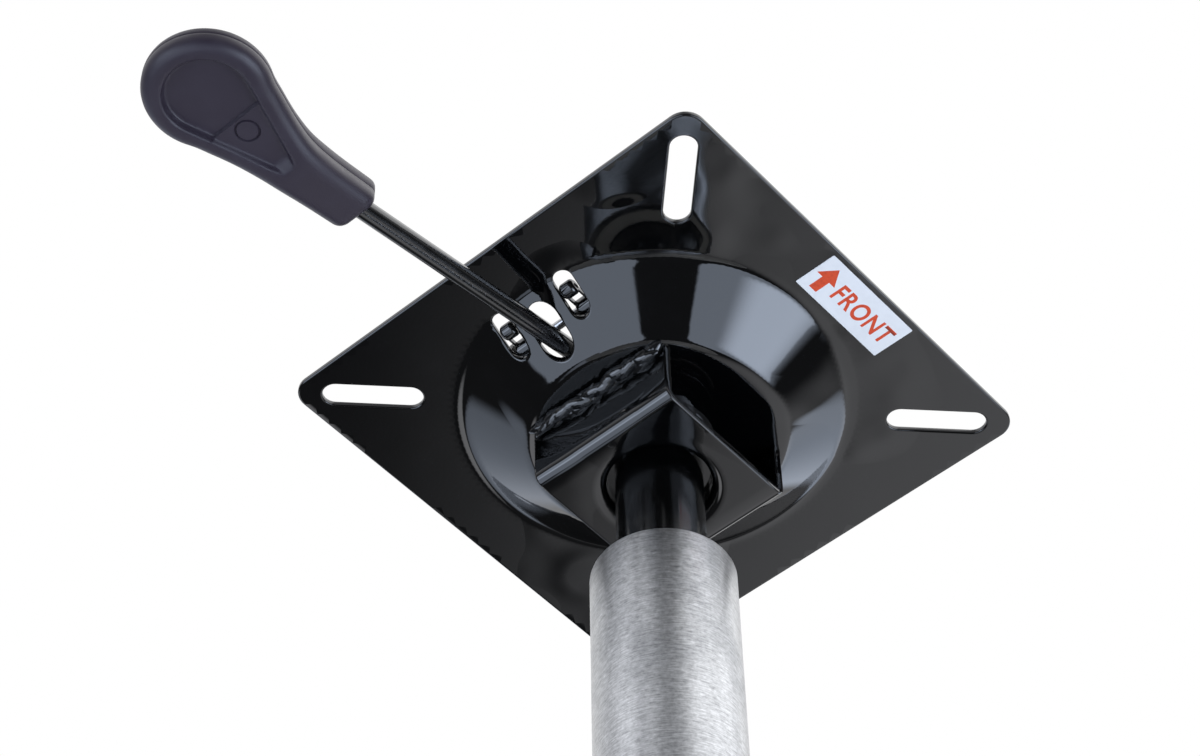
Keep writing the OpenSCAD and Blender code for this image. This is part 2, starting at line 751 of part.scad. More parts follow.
module rocker_plate() {
    top = flat_under + rocker_t;
    tail = lever_bend_in - 1;
    outer = arm_y + arm_w;
    color([0.07, 0.07, 0.075]) union() {
        for (s = [-1, 1]) difference() {
            union() {
                translate([0, s * (arm_y + arm_w / 2), 0])
                    y_cylinder(knuckle_r, arm_w, -pivot_x, pivot_z);
                translate([0, s > 0 ? outer : -arm_y, 0]) rotate([90, 0, 0])
                    linear_extrude(height = arm_w) polygon([
                        [-pivot_x, arm_under + rocker_t], [-step_x + 0.3, arm_under + rocker_t],
                        [-step_end + 0.3, top], [-tail, top], [-tail, flat_under],
                        [-step_end, flat_under], [-step_x, arm_under], [-pivot_x, arm_under]]);
            }
            translate([0, s * (arm_y + arm_w / 2), 0])
                y_cylinder(knuckle_bore, arm_w + 2, -pivot_x, pivot_z);
        }
        translate([0, 0, flat_under]) linear_extrude(height = rocker_t) {
            polygon([[-step_end, -outer], [-tail + 8, -outer], [0, -tip_r], [0, tip_r],
                [-tail + 8, outer], [-step_end, outer]]);
            circle(r = tip_r);
        }
    }
}

// The bent bar that the lever rod and the hole in its handle share
module lever_bar(r, x_in, x_out) {
    bar(-x_in, lever_z, -lever_bend_in, lever_z, r);
    translate([-lever_bend_in, 0, lever_z]) sphere(r = r + bend_swell, $fn = 48);
    bar(-lever_bend_in, lever_z, -lever_bend_out, handle_z, r);
    translate([-lever_bend_out, 0, handle_z]) sphere(r = r + bend_swell, $fn = 48);
    bar(-lever_bend_out, handle_z, -x_out, handle_z, r);
}

module lever_rod() {
    color([0.05, 0.05, 0.055]) lever_bar(lever_r, lever_end, lever_bend_out + lever_tail);
}

module lever_weld() {
    leg = 1.7;
    raise = 1.2;
    color([0.08, 0.08, 0.085]) for (s = [-1, 1]) difference() {
        intersection() {
            bar(-lever_end - 1, lever_z + raise, -lever_bend_in, lever_z + raise, lever_r + leg);
            translate([-lever_bend_in, s > 0 ? 0 : -lever_r - leg, flat_under - lever_r])
                cube([lever_bend_in - lever_end, lever_r + leg, lever_r - seat_gap]);
        }
        bar(-lever_end + 5, lever_z, -lever_bend_in - 5, lever_z, lever_r + seat_gap);
    }
}

// One rounded section of the handle, at a distance out from its neck's end
module handle_section(out, w, h) {
    x = handle_x + out;
    mid = handle_z + max(0, lever_bend_out - x) * tan(lever_deg);
    for (y = [-1, 1], z = [-1, 1])
        translate([-x, y * (w / 2 - handle_edge), mid + z * (h / 2 - handle_edge)])
            sphere(r = handle_edge, $fn = 24);
}

module handle_body() {
    hull() {
        handle_section(handle_edge, neck_w, neck_t);
        handle_section(neck_x * 0.55, neck_w + 1.7, neck_t);
    }
    hull() {
        handle_section(neck_x * 0.55, neck_w + 1.7, neck_t);
        handle_section(neck_x, neck_w + 3.6, neck_t - 1);
    }
    hull() {
        handle_section(neck_x, neck_w + 3.6, neck_t - 1);
        handle_section(neck_x + 12, neck_w + 8.1, head_t + 0.6);
    }
    hull() {
        handle_section(neck_x + 12, neck_w + 8.1, head_t + 0.6);
        translate([-head_mid, 0, handle_z]) rotate_extrude($fn = 64)
            translate([head_r - head_t / 2, 0]) circle(r = head_t / 2, $fn = 24);
    }
}

module lever_handle() {
    under = handle_z - head_t / 2;
    step_at = head_mid - pocket_step;
    mark_x = head_mid - ring_mark_gap;
    ring_w = 0.5;
    ring_d = 0.4;
    tail_gap = 0.5;
    color([0.16, 0.15, 0.17]) difference() {
        handle_body();
        translate([0, 0, under - 5]) intersection() {
            hull() {
                translate([-head_mid, 0, 0]) cylinder(r = head_r - pocket_edge, h = 5 + pocket_d, $fn = 48);
                translate([-head_mid + pocket_len, 0, 0])
                    cylinder(r = pocket_end_r, h = 5 + pocket_d, $fn = 24);
            }
            union() {
                translate([-head_mid - 30, -30, 0]) cube([30 + head_mid - step_at, 60, 5 + pocket_d]);
                translate([-step_at - 1, -30, 0]) cube([40, 60, 5 + pocket_d / 2]);
            }
        }
        translate([-mark_x, 0, under - 1]) difference() {
            cylinder(r = ring_mark_r, h = 1 + pocket_d / 2 + ring_d, $fn = 32);
            translate([0, 0, -1]) cylinder(r = ring_mark_r - ring_w, h = 10, $fn = 32);
        }
        lever_bar(lever_r + handle_gap, lever_bend_in, lever_bend_out + lever_tail + tail_gap);
    }
}

base_flange();
foot_weld();
post_tube();
guide_bush();
column_foot();
lower_race();
ball_cage();
bearing_balls();
piston_rod();
upper_race();
rod_clip();
bump_stop();
piston();
piston_ring();
piston_nut();
gas_cylinder();
pressure_tube();
rod_guide();
rod_seal();
valve_body();
valve_seal();
taper_socket();
socket_weld();
channel_bracket();
bracket_welds();
seat_plate();
pivot_pin();
front_label();
rocker_plate();
lever_rod();
lever_weld();
lever_handle();
release_pin();
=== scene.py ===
"""Looks, studio and camera for the boat seat pedestal.

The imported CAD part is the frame. This script dresses it: pressed sheet, turned
pieces, moulded handle and weld beads are modelled finer than the frame's own
meshes, and every visible surface gets a procedural finish. Lengths inside the
builders are in millimetres, in the part's own frame.
"""

import json
import logging
import math
from dataclasses import dataclass
from enum import Enum
from typing import Callable, Sequence

import bpy
import numpy as np
from mathutils import Matrix, Vector
from mathutils.geometry import delaunay_2d_cdt

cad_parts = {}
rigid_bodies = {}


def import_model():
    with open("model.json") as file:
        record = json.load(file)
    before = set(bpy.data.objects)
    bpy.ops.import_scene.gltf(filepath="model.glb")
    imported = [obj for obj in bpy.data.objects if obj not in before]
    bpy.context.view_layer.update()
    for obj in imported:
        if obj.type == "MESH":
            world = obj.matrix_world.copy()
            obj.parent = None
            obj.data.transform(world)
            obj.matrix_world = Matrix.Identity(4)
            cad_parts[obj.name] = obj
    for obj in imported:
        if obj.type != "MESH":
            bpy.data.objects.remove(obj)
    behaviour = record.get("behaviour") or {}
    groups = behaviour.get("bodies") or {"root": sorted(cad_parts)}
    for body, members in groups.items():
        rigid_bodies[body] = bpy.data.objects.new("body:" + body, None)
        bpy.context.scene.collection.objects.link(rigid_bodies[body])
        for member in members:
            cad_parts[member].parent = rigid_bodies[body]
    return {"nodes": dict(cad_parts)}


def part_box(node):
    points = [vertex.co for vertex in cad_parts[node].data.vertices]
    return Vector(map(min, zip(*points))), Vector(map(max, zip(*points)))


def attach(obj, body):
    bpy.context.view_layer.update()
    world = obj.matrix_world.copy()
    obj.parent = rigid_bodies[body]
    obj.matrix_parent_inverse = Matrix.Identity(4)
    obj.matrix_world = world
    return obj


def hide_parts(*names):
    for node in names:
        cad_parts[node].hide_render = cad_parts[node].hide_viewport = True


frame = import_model()

LOG = logging.getLogger("pedestal")
MM = 0.001
TINY = 1e-9
PointFn = Callable[[np.ndarray, np.ndarray], np.ndarray]  # Heights over points of a plan
EdgeFn = Callable[[float], np.ndarray]  # An edge's points at a distance into the sheet
MeshData = tuple[np.ndarray, list[list[int]]]  # Points and faces


class Body(str, Enum):
    """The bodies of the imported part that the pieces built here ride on."""

    COLUMN = "floor_column"
    HEAD = "seat_head"
    LEVER = "lever"


# ---- Node trees ----


class Graph:
    """Thin helper that adds and links nodes in one tree.

    Attributes:
        tree: The node tree that the helper writes to.
        inlet: The tree's Group Input, in a group.
        outlet: The tree's Group Output, in a group.
    """

    inlet: bpy.types.Node
    outlet: bpy.types.Node

    def __init__(self, tree: bpy.types.NodeTree) -> None:
        """Takes the node tree that the helper writes to."""
        self.tree = tree

    def add(self, kind: str, **inputs: object) -> bpy.types.Node:
        """Adds a node.

        Args:
            kind: The node's type name.
            **inputs: Values by property name, or values and sockets to link by input name,
                with spaces as underscores.

        Returns:
            The new node.
        """
        node = self.tree.nodes.new(kind)
        for key, value in inputs.items():
            if hasattr(node, key):
                setattr(node, key, value)
            elif isinstance(value, bpy.types.NodeSocket):
                self.link(value, node.inputs[key.replace("_", " ")])
            else:
                node.inputs[key.replace("_", " ")].default_value = value
        return node

    def link(self, source: bpy.types.NodeSocket, target: bpy.types.NodeSocket) -> None:
        """Links one socket to another."""
        self.tree.links.new(source, target)

    def math(self, operation: str, a: object, b: object = 0.0) -> bpy.types.NodeSocket:
        """Adds a Math node.

        Args:
            operation: The operation's name.
            a: First socket or number.
            b: Second socket or number.

        Returns:
            The node's output.
        """
        node = self.add("ShaderNodeMath", operation=operation)
        for index, value in enumerate((a, b)):
            if isinstance(value, bpy.types.NodeSocket):
                self.link(value, node.inputs[index])
            else:
                node.inputs[index].default_value = value
        return node.outputs[0]

    def ramp(
        self,
        value: bpy.types.NodeSocket,
        source: tuple[float, float] = (0.0, 1.0),
        target: tuple[float, float] = (0.0, 1.0),
        kind: str = "SMOOTHSTEP",
    ) -> bpy.types.NodeSocket:
        """Adds a Map Range node.

        Args:
            value: The socket that it maps.
            source: The range that the value comes from.
            target: The range that it goes to.
            kind: The interpolation between them.

        Returns:
            The node's output.
        """
        node = self.add("ShaderNodeMapRange", interpolation_type=kind, Value=value,
                        From_Min=source[0], From_Max=source[1],
                        To_Min=target[0], To_Max=target[1])
        return node.outputs["Result"]


def new_group(name: str, inputs: dict[str, float], outputs: dict[str, str]) -> Graph:
    """Makes an empty shader node group with float inputs.

    Args:
        name: The group's name.
        inputs: Input names and their defaults.
        outputs: Output names and their socket types.

    Returns:
        A helper on the group's tree, with Group Input and Group Output added.
    """
    tree = bpy.data.node_groups.new(name, "ShaderNodeTree")
    for key, value in inputs.items():
        socket = tree.interface.new_socket(key, in_out="INPUT", socket_type="NodeSocketFloat")
        socket.default_value = value
    for key, kind in outputs.items():
        tree.interface.new_socket(key, in_out="OUTPUT", socket_type=kind)
    graph = Graph(tree)
    graph.inlet = graph.add("NodeGroupInput")
    graph.outlet = graph.add("NodeGroupOutput")
    return graph


def relief_group() -> bpy.types.NodeTree:
    """Two noise reliefs as one shading normal: a coarse uneven one and a fine one.

    Returns:
        The group's tree.
    """
    g = new_group(
        "SurfaceRelief",
        {"Wave Scale": 60.0, "Wave Height": 0.0, "Grain Scale": 900.0, "Grain Height": 0.0,
         "Spread Scale": 22.0, "Evenness": 1.0},
        {"Normal": "NodeSocketVector"},
    )
    place, given = g.add("ShaderNodeTexCoord").outputs["Object"], g.inlet.outputs
    spread = g.add("ShaderNodeTexNoise", Detail=1.0, Roughness=0.5, Vector=place,
                   Scale=given["Spread Scale"])
    uneven = g.ramp(spread.outputs["Fac"], source=(0.48, 0.66))
    share = g.math("MAXIMUM", uneven, given["Evenness"])
    normal = None
    for layer, detail in (("Wave", 1.0), ("Grain", 2.0)):
        noise = g.add("ShaderNodeTexNoise", Detail=detail, Roughness=0.5, Vector=place,
                      Scale=given[f"{layer} Scale"])
        height = noise.outputs["Fac"]
        if layer == "Wave":
            height = g.math("MULTIPLY", height, share)
        bump = g.add("ShaderNodeBump", Strength=1.0, Height=height,
                     Distance=given[f"{layer} Height"])
        if normal is not None:
            g.link(normal, bump.inputs["Normal"])
        normal = bump.outputs["Normal"]
    g.link(normal, g.outlet.inputs["Normal"])
    return g.tree


def patch_group() -> bpy.types.NodeTree:
    """A soft patchy mask from 0 to 1, for smudges, dust and uneven gloss.

    Returns:
        The group's tree.
    """
    g = new_group(
        "PatchMask",
        {"Scale": 40.0, "Low": 0.45, "High": 0.7, "Seed": 0.0},
        {"Mask": "NodeSocketFloat"},
    )
    place, given = g.add("ShaderNodeTexCoord").outputs["Object"], g.inlet.outputs
    noise = g.add("ShaderNodeTexNoise", noise_dimensions="4D", Detail=5.0, Roughness=0.6,
                  Vector=place, W=given["Seed"], Scale=given["Scale"])
    spread = g.add("ShaderNodeMapRange", interpolation_type="SMOOTHSTEP",
                   Value=noise.outputs["Fac"], From_Min=given["Low"], From_Max=given["High"])
    g.link(spread.outputs["Result"], g.outlet.inputs["Mask"])
    return g.tree


def brush_group() -> bpy.types.NodeTree:
    """Brush marks that run round the Z axis, as a value and a shading normal.

    Returns:
        The group's tree.
    """
    g = new_group(
        "BrushMarks",
        {"Across": 90.0, "Along": 2600.0, "Height": 0.00002},
        {"Value": "NodeSocketFloat", "Normal": "NodeSocketVector"},
    )
    place, given = g.add("ShaderNodeTexCoord").outputs["Object"], g.inlet.outputs
    parts = g.add("ShaderNodeSeparateXYZ", Vector=place)
    total = None
    for share, stretch, weight in ((1.0, 1.0, 0.6), (3.1, 0.35, 0.4)):
        across = g.math("MULTIPLY", given["Across"], share)
        along = g.math("MULTIPLY", given["Along"], stretch)
        scaled = {axis: g.math("MULTIPLY", parts.outputs[axis], factor)
                  for axis, factor in (("X", across), ("Y", across), ("Z", along))}
        noise = g.add("ShaderNodeTexNoise", Scale=1.0, Detail=3.0, Roughness=0.65,
                      Vector=g.add("ShaderNodeCombineXYZ", **scaled).outputs["Vector"])
        part = g.math("MULTIPLY", noise.outputs["Fac"], weight)
        total = part if total is None else g.math("ADD", total, part)
    bump = g.add("ShaderNodeBump", Strength=1.0, Height=total, Distance=given["Height"])
    g.link(total, g.outlet.inputs["Value"])
    g.link(bump.outputs["Normal"], g.outlet.inputs["Normal"])
    return g.tree


class Groups:
    """The shared shader node groups, made once.

    Attributes:
        relief: Coarse and fine relief.
        patch: Patchy mask.
        brush: Brush marks.
    """

    relief: bpy.types.NodeTree
    patch: bpy.types.NodeTree
    brush: bpy.types.NodeTree

    @classmethod
    def make(cls) -> None:
        """Builds the groups."""
        cls.relief = relief_group()
        cls.patch = patch_group()
        cls.brush = brush_group()


# ---- Finishes ----


@dataclass(frozen=True)
class Finish:
    """A dielectric or metal finish with patchy gloss and two layers of relief.

    Attributes:
        name: Name of the material.
        slot: The record's material slot that it belongs to.
        color: Base colour, linear.
        shade: Colour of the patches.
        metallic: 0 for plastics and paint, 1 for metal.
        rough: Roughness outside and inside the patches.
        wave: Scale per metre and height in metres of the coarse relief.
        grain: Scale per metre and height in metres of the fine relief.
        patch: Scale per metre of the patches.
        even: Least share of the coarse relief, 1 where it is the same all over.
        specular: Specular level.
    """

    name: str
    slot: str
    color: tuple[float, float, float]
    shade: tuple[float, float, float]
    metallic: float = 0.0
    rough: tuple[float, float] = (0.3, 0.4)
    wave: tuple[float, float] = (60.0, 0.0)
    grain: tuple[float, float] = (900.0, 0.0)
    patch: float = 40.0
    even: float = 1.0
    specular: float = 0.5

    def build(self) -> bpy.types.Material:
        """Builds the material.

        Returns:
            The new material.
        """
        material = bpy.data.materials.new(self.name)
        material.use_nodes = True
        material.diffuse_color = (*self.color, 1.0)
        material.node_tree.nodes.clear()
        g = Graph(material.node_tree)
        shader = g.add("ShaderNodeBsdfPrincipled", Metallic=self.metallic)
        shader.inputs["Specular IOR Level"].default_value = self.specular
        mask = g.add("ShaderNodeGroup", node_tree=Groups.patch)
        mask.inputs["Scale"].default_value = self.patch
        mask.inputs["Seed"].default_value = float(len(self.name))  # Patches differ by finish
        self.link_values(g, shader, mask.outputs["Mask"])
        self.link_normal(g, shader)
        g.add("ShaderNodeOutputMaterial", Surface=shader.outputs["BSDF"])
        return material

    def link_values(
        self, g: Graph, shader: bpy.types.Node, mask: bpy.types.NodeSocket
    ) -> None:
        """Links the colour and the roughness through the patch mask.

        Args:
            g: The material's tree.
            shader: Its Principled BSDF.
            mask: The patch mask.
        """
        tint = g.add("ShaderNodeMix", data_type="RGBA")
        tint.inputs[6].default_value = (*self.color, 1.0)
        tint.inputs[7].default_value = (*self.shade, 1.0)
        g.link(mask, tint.inputs["Factor"])
        g.link(tint.outputs[2], shader.inputs["Base Color"])
        g.link(g.ramp(mask, target=self.rough, kind="LINEAR"), shader.inputs["Roughness"])

    def link_normal(self, g: Graph, shader: bpy.types.Node) -> None:
        """Links the relief's normal.

        Args:
            g: The material's tree.
            shader: Its Principled BSDF.
        """
        relief = g.add("ShaderNodeGroup", node_tree=Groups.relief)
        names = ("Wave Scale", "Wave Height", "Grain Scale", "Grain Height", "Evenness")
        for key, value in zip(names, (*self.wave, *self.grain, self.even)):
            relief.inputs[key].default_value = value
        g.link(relief.outputs["Normal"], shader.inputs["Normal"])


@dataclass(frozen=True)
class BrushedFinish(Finish):
    """Metal with brush marks round the Z axis.

    Attributes:
        marks: Marks per metre across and along the axis, and their height in metres.
        groove: Share of the brush value, from the deepest groove to the highest ridge.
        painted_shade_and_highlight: Factor on the base colour at either end of that share.
    """

    marks: tuple[float, float, float] = (90.0, 2600.0, 0.00002)
    groove: tuple[float, float] = (0.3, 0.7)
    # painted_shade_and_highlight: Factor on the base colour at either end of that share; the
    # grooves get painted shade and the ridges a painted highlight.
    painted_shade_and_highlight: tuple[float, float] = (0.42, 1.3)

    def link_normal(self, g: Graph, shader: bpy.types.Node) -> None:
        """Links the brush marks, which also paint shade into the base colour's grooves and a
        highlight onto its ridges.

        Args:
            g: The material's tree.
            shader: Its Principled BSDF, with its base colour linked.
        """
        brush = g.add("ShaderNodeGroup", node_tree=Groups.brush)
        for key, value in zip(("Across", "Along", "Height"), self.marks):
            brush.inputs[key].default_value = value
        g.link(brush.outputs["Normal"], shader.inputs["Normal"])
        tint = shader.inputs["Base Color"].links[0].from_socket
        # Painted shade and highlight: the base colour is scaled darker in the brush grooves and
        # lighter on the ridges.
        factor = g.ramp(brush.outputs["Value"], self.groove, self.painted_shade_and_highlight, "LINEAR")
        scaled = g.add("ShaderNodeVectorMath", operation="SCALE", Scale=factor)
        g.link(tint, scaled.inputs[0])
        g.link(scaled.outputs[0], shader.inputs["Base Color"])


FINISHES: dict[str, Finish] = {
    f.name: f
    for f in (
        Finish("gloss_black", "black_paint", (0.0012, 0.0013, 0.0015), (0.0022, 0.0022, 0.0025),
               rough=(0.03, 0.05), wave=(38.0, 0.0007), grain=(700.0, 0.0000025), patch=60.0,
               even=0.06, specular=0.8),
        Finish("lever_black", "black_paint", (0.0012, 0.0013, 0.0015), (0.002, 0.002, 0.0023),
               rough=(0.06, 0.1), wave=(60.0, 0.00002), grain=(900.0, 0.0000006), patch=120.0,
               specular=0.8),
        Finish("bar_black", "black_paint", (0.0014, 0.0015, 0.0017), (0.0024, 0.0024, 0.0027),
               rough=(0.15, 0.21), wave=(60.0, 0.00002), grain=(900.0, 0.0000006), patch=120.0,
               specular=1.0),
        Finish("weld_black", "black_paint", (0.006, 0.0062, 0.0066), (0.016, 0.016, 0.017),
               rough=(0.06, 0.14), wave=(160.0, 0.0004), grain=(1300.0, 0.000012), patch=300.0,
               specular=0.8),
        Finish("tube_black", "tube_black", (0.0016, 0.0017, 0.0018), (0.0026, 0.0026, 0.0028),
               rough=(0.14, 0.22), wave=(120.0, 0.000008), grain=(2200.0, 0.000002), patch=90.0,
               specular=0.6),
        Finish("handle_plastic", "handle_plastic", (0.027, 0.02, 0.0315),
               (0.0305, 0.0232, 0.0355), rough=(0.42, 0.52), wave=(300.0, 0.00002),
               grain=(3200.0, 0.00003), patch=70.0),
        Finish("label_film", "label_film", (0.86, 0.86, 0.86), (0.82, 0.82, 0.82),
               rough=(0.3, 0.42), wave=(90.0, 0.00003), grain=(1600.0, 0.000004), patch=180.0),
        Finish("label_ink", "label_film", (0.74, 0.075, 0.02), (0.62, 0.06, 0.018),
               rough=(0.35, 0.45), wave=(90.0, 0.00001), grain=(2600.0, 0.000006), patch=900.0),
        BrushedFinish("post_brushed", "post_metal", (0.52, 0.53, 0.545), (0.46, 0.47, 0.485),
                      metallic=1.0, rough=(0.3, 0.42), patch=35.0,
                      marks=(230.0, 2300.0, 0.00005)),
        BrushedFinish("base_brushed", "base_metal", (0.56, 0.57, 0.58), (0.5, 0.51, 0.52),
                      metallic=1.0, rough=(0.3, 0.42), patch=30.0,
                      marks=(700.0, 900.0, 0.000025)),
        Finish("weld_metal", "base_metal", (0.5, 0.5, 0.51), (0.36, 0.36, 0.38),
               metallic=1.0, rough=(0.3, 0.5), wave=(500.0, 0.00015), grain=(2400.0, 0.00002),
               patch=240.0),
        BrushedFinish("turned_steel", "steel", (0.46, 0.465, 0.475), (0.38, 0.385, 0.4),
                      metallic=1.0, rough=(0.25, 0.38), patch=80.0,
                      marks=(500.0, 5200.0, 0.000012)),
        Finish("bright_rod", "rod_chrome", (0.66, 0.67, 0.69), (0.6, 0.61, 0.63),
               metallic=1.0, rough=(0.06, 0.12), grain=(4000.0, 0.000001), patch=120.0),
        Finish("white_acetal", "white_acetal", (0.78, 0.78, 0.74), (0.7, 0.7, 0.66),
               rough=(0.4, 0.5), grain=(1800.0, 0.000006), patch=120.0),
        Finish("seal_rubber", "seal_rubber", (0.012, 0.012, 0.012), (0.02, 0.02, 0.02),
               rough=(0.6, 0.75), grain=(2600.0, 0.00002), patch=160.0),
        Finish("valve_brass", "valve_brass", (0.6, 0.42, 0.16), (0.5, 0.34, 0.13),
               metallic=1.0, rough=(0.24, 0.36), grain=(2600.0, 0.000006), patch=160.0),
    )
}
MADE: dict[str, bpy.types.Material] = {}  # Materials by finish, filled on first use


def material(name: str) -> bpy.types.Material:
    """Gives a finish's material, and builds it on first use.

    Args:
        name: The finish's name.

    Returns:
        The material.
    """
    if name not in MADE:
        MADE[name] = FINISHES[name].build()
    return MADE[name]


# ---- Mesh builders ----


def place_piece(
    name: str,
    verts: np.ndarray,
    faces: Sequence[Sequence[int]],
    finish: str,
    body: Body,
    replaces: Sequence[str] = (),
    sharp: float = 40.0,
) -> bpy.types.Object:
    """Makes a mesh object and ties it to a body of the frame.

    Args:
        name: The object's name.
        verts: Points in millimetres, in the part's frame.
        faces: Corner indices of each face.
        finish: Name of the finish.
        body: The body that the piece rides on.
        replaces: CAD nodes that the piece stands for.
        sharp: Edges bent by more than this angle, in degrees, stay sharp.

    Returns:
        The new object.
    """
    mesh = bpy.data.meshes.new(name)
    mesh.from_pydata((np.asarray(verts, float) * MM).tolist(), [], [list(f) for f in faces])
    mesh.validate()
    mesh.shade_smooth()
    mesh.set_sharp_from_angle(angle=math.radians(sharp))
    mesh.materials.append(material(finish))
    return tie_to_frame(name, mesh, body, replaces)


def tie_to_frame(
    name: str,
    mesh: bpy.types.Mesh,
    body: Body,
    replaces: Sequence[str],
) -> bpy.types.Object:
    """Makes a mesh an object of the frame, and reports it.

    Args:
        name: The object's name.
        mesh: Its mesh.
        body: The body that the piece rides on.
        replaces: CAD nodes that the piece stands for.

    Returns:
        The new object.
    """
    obj = bpy.data.objects.new(name, mesh)
    bpy.context.scene.collection.objects.link(obj)
    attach(obj, body.value)
    if replaces:
        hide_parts(*replaces)
    LOG.info("%s on %s has %d points", name, body.value, len(mesh.vertices))
    return obj


def arc(cx: float, cy: float, r: float, a0: float, a1: float, n: int) -> np.ndarray:
    """Points on an arc.

    Args:
        cx: Middle along the first axis.
        cy: Middle along the second axis.
        r: Radius.
        a0: First angle, in degrees.
        a1: Last angle.
        n: Segments.

    Returns:
        The points, both ends included.
    """
    t = np.radians(np.linspace(a0, a1, n + 1))
    return np.c_[cx + r * np.cos(t), cy + r * np.sin(t)]


def rounded(points: Sequence[tuple[float, float, float]], steps: int = 5) -> np.ndarray:
    """Rounds the corners of a closed outline.

    Args:
        points: Corners as x, y and fillet radius.
        steps: Segments in each fillet.

    Returns:
        The rounded outline's points.
    """
    out: list[np.ndarray] = []
    n = len(points)
    for i, (x, y, r) in enumerate(points):
        p = np.array([x, y])
        if r <= 0:
            out.append(p)
            continue
        before = np.array(points[i - 1][:2]) - p
        after = np.array(points[(i + 1) % n][:2]) - p
        la, lb = np.linalg.norm(before), np.linalg.norm(after)
        u, v = before / la, after / lb
        half = math.acos(float(np.clip(u @ v, -1, 1))) / 2
        t = min(r / math.tan(half), 0.48 * la, 0.48 * lb)
        r = t * math.tan(half)
        centre = p + (u + v) / np.linalg.norm(u + v) * r / math.sin(half)
        a, b = p + u * t - centre, p + v * t - centre
        swing = math.atan2(a[0] * b[1] - a[1] * b[0], float(a @ b))
        start = math.atan2(a[1], a[0])
        for k in range(steps + 1):
            w = start + swing * k / steps
            out.append(centre + r * np.array([math.cos(w), math.sin(w)]))
    return np.array(out)


def rings_to_faces(rows: int, count: int) -> list[list[int]]:
    """Quads between successive rings of points.

    Args:
        rows: How many rings there are.
        count: Points in each.

    Returns:
        The faces.
    """
    faces = []
    for k in range(rows - 1):
        a, b = k * count, (k + 1) * count
        for i in range(count):
            j = (i + 1) % count
            faces.append([a + i, a + j, b + j, b + i])
    return faces


def joined(parts: Sequence[MeshData]) -> MeshData:
    """Joins meshes into one.

    Args:
        parts: The meshes.

    Returns:
        The points and faces of all of them, in order.
    """
    faces: list[list[int]] = []
    start = 0
    for points, found in parts:
        faces += [[i + start for i in f] for f in found]
        start += len(points)
    return np.vstack([points for points, _ in parts]), faces


def rows_round(profile: np.ndarray, count: int) -> list[np.ndarray]:
    """Turns a section into rows of points round the Z axis.

    Args:
        profile: The section's points as radius and height.
        count: Points in each row.

    Returns:
        The rows.
    """
    t = np.arange(count) * 2 * np.pi / count
    return [np.c_[r * np.cos(t), r * np.sin(t), np.full(count, z)] for r, z in profile]


def lathe(profile: np.ndarray, segments: int = 128) -> MeshData:
    """Turns a closed outline of (radius, height) points round the Z axis.

    Args:
        profile: The outline, anticlockwise, with radii of zero allowed at its ends.
        segments: Segments round the axis.

    Returns:
        The points and faces.
    """
    t = np.linspace(0, 2 * np.pi, segments, endpoint=False)
    on_axis = profile[:, 0] < TINY
    verts: list[np.ndarray] = []
    starts = []
    for (r, z), axis in zip(profile, on_axis):
        starts.append(len(verts))
        if axis:
            verts.append(np.array([0.0, 0.0, z]))
        else:
            verts.extend(np.c_[r * np.cos(t), r * np.sin(t), np.full(segments, z)])
    faces: list[list[int]] = []
    n = len(profile)
    for k in range(n):
        m = (k + 1) % n
        a, b = starts[k], starts[m]
        if on_axis[k] and on_axis[m]:
            continue
        for i in range(segments):
            j = (i + 1) % segments
            if on_axis[k]:
                faces.append([a, b + j, b + i])
            elif on_axis[m]:
                faces.append([a + i, a + j, b])
            else:
                faces.append([a + i, a + j, b + j, b + i])
    return np.array(verts), faces


def turned(
    name: str,
    corners: Sequence[tuple[float, float, float]],
    finish: str,
    body: Body,
    replaces: Sequence[str] = (),
    segments: int = 128,
) -> bpy.types.Object:
    """Builds a turned piece.

    Args:
        name: The object's name.
        corners: Corners of its section as radius, height and fillet, anticlockwise.
        finish: Name of the finish.
        body: The body that the piece rides on.
        replaces: CAD nodes that the piece stands for.
        segments: Segments round the axis.

    Returns:
        The new object.
    """
    verts, faces = lathe(rounded(corners), segments)
    return place_piece(name, verts, faces, finish, body, replaces)


def sweep(
    path: np.ndarray, radii: np.ndarray, segments: int = 48
) -> MeshData:
    """Sweeps a circle along a path in the XZ plane, with both ends closed.

    Args:
        path: Points of the path.
        radii: Radius at each point.
        segments: Segments round the path.

    Returns:
        The points and faces.
    """
    t = np.linspace(0, 2 * np.pi, segments, endpoint=False)
    step = np.gradient(path, axis=0)
    step /= np.linalg.norm(step, axis=1)[:, None]
    side = np.array([0.0, 1.0, 0.0])
    rows = []
    for p, d, r in zip(path, step, radii):
        up = np.cross(d, side)
        rows.append(p + r * (np.cos(t)[:, None] * side + np.sin(t)[:, None] * up))
    verts = np.vstack([*rows, path[:1], path[-1:]])
    count = len(path)
    faces = rings_to_faces(count, segments)
    first, last = count * segments, count * segments + 1
    for i in range(segments):
        j = (i + 1) % segments
        faces.append([first, j, i])
        end = (count - 1) * segments
        faces.append([last, end + i, end + j])
    return verts, faces


@dataclass(frozen=True)
class Edge:
    """One closed edge of a sheet.

    Attributes:
        at: Gives the edge's points, anticlockwise, at a distance into the sheet.
        hole: True where the sheet lies outside the loop.
        radius: Radius of the edge's rounding.
        rim: Rows of points that replace the rounding, from the upper to the lower face.
    """

    at: EdgeFn
    hole: bool = False
    radius: float = 0.35
    rim: Callable[[], list[np.ndarray]] | None = None


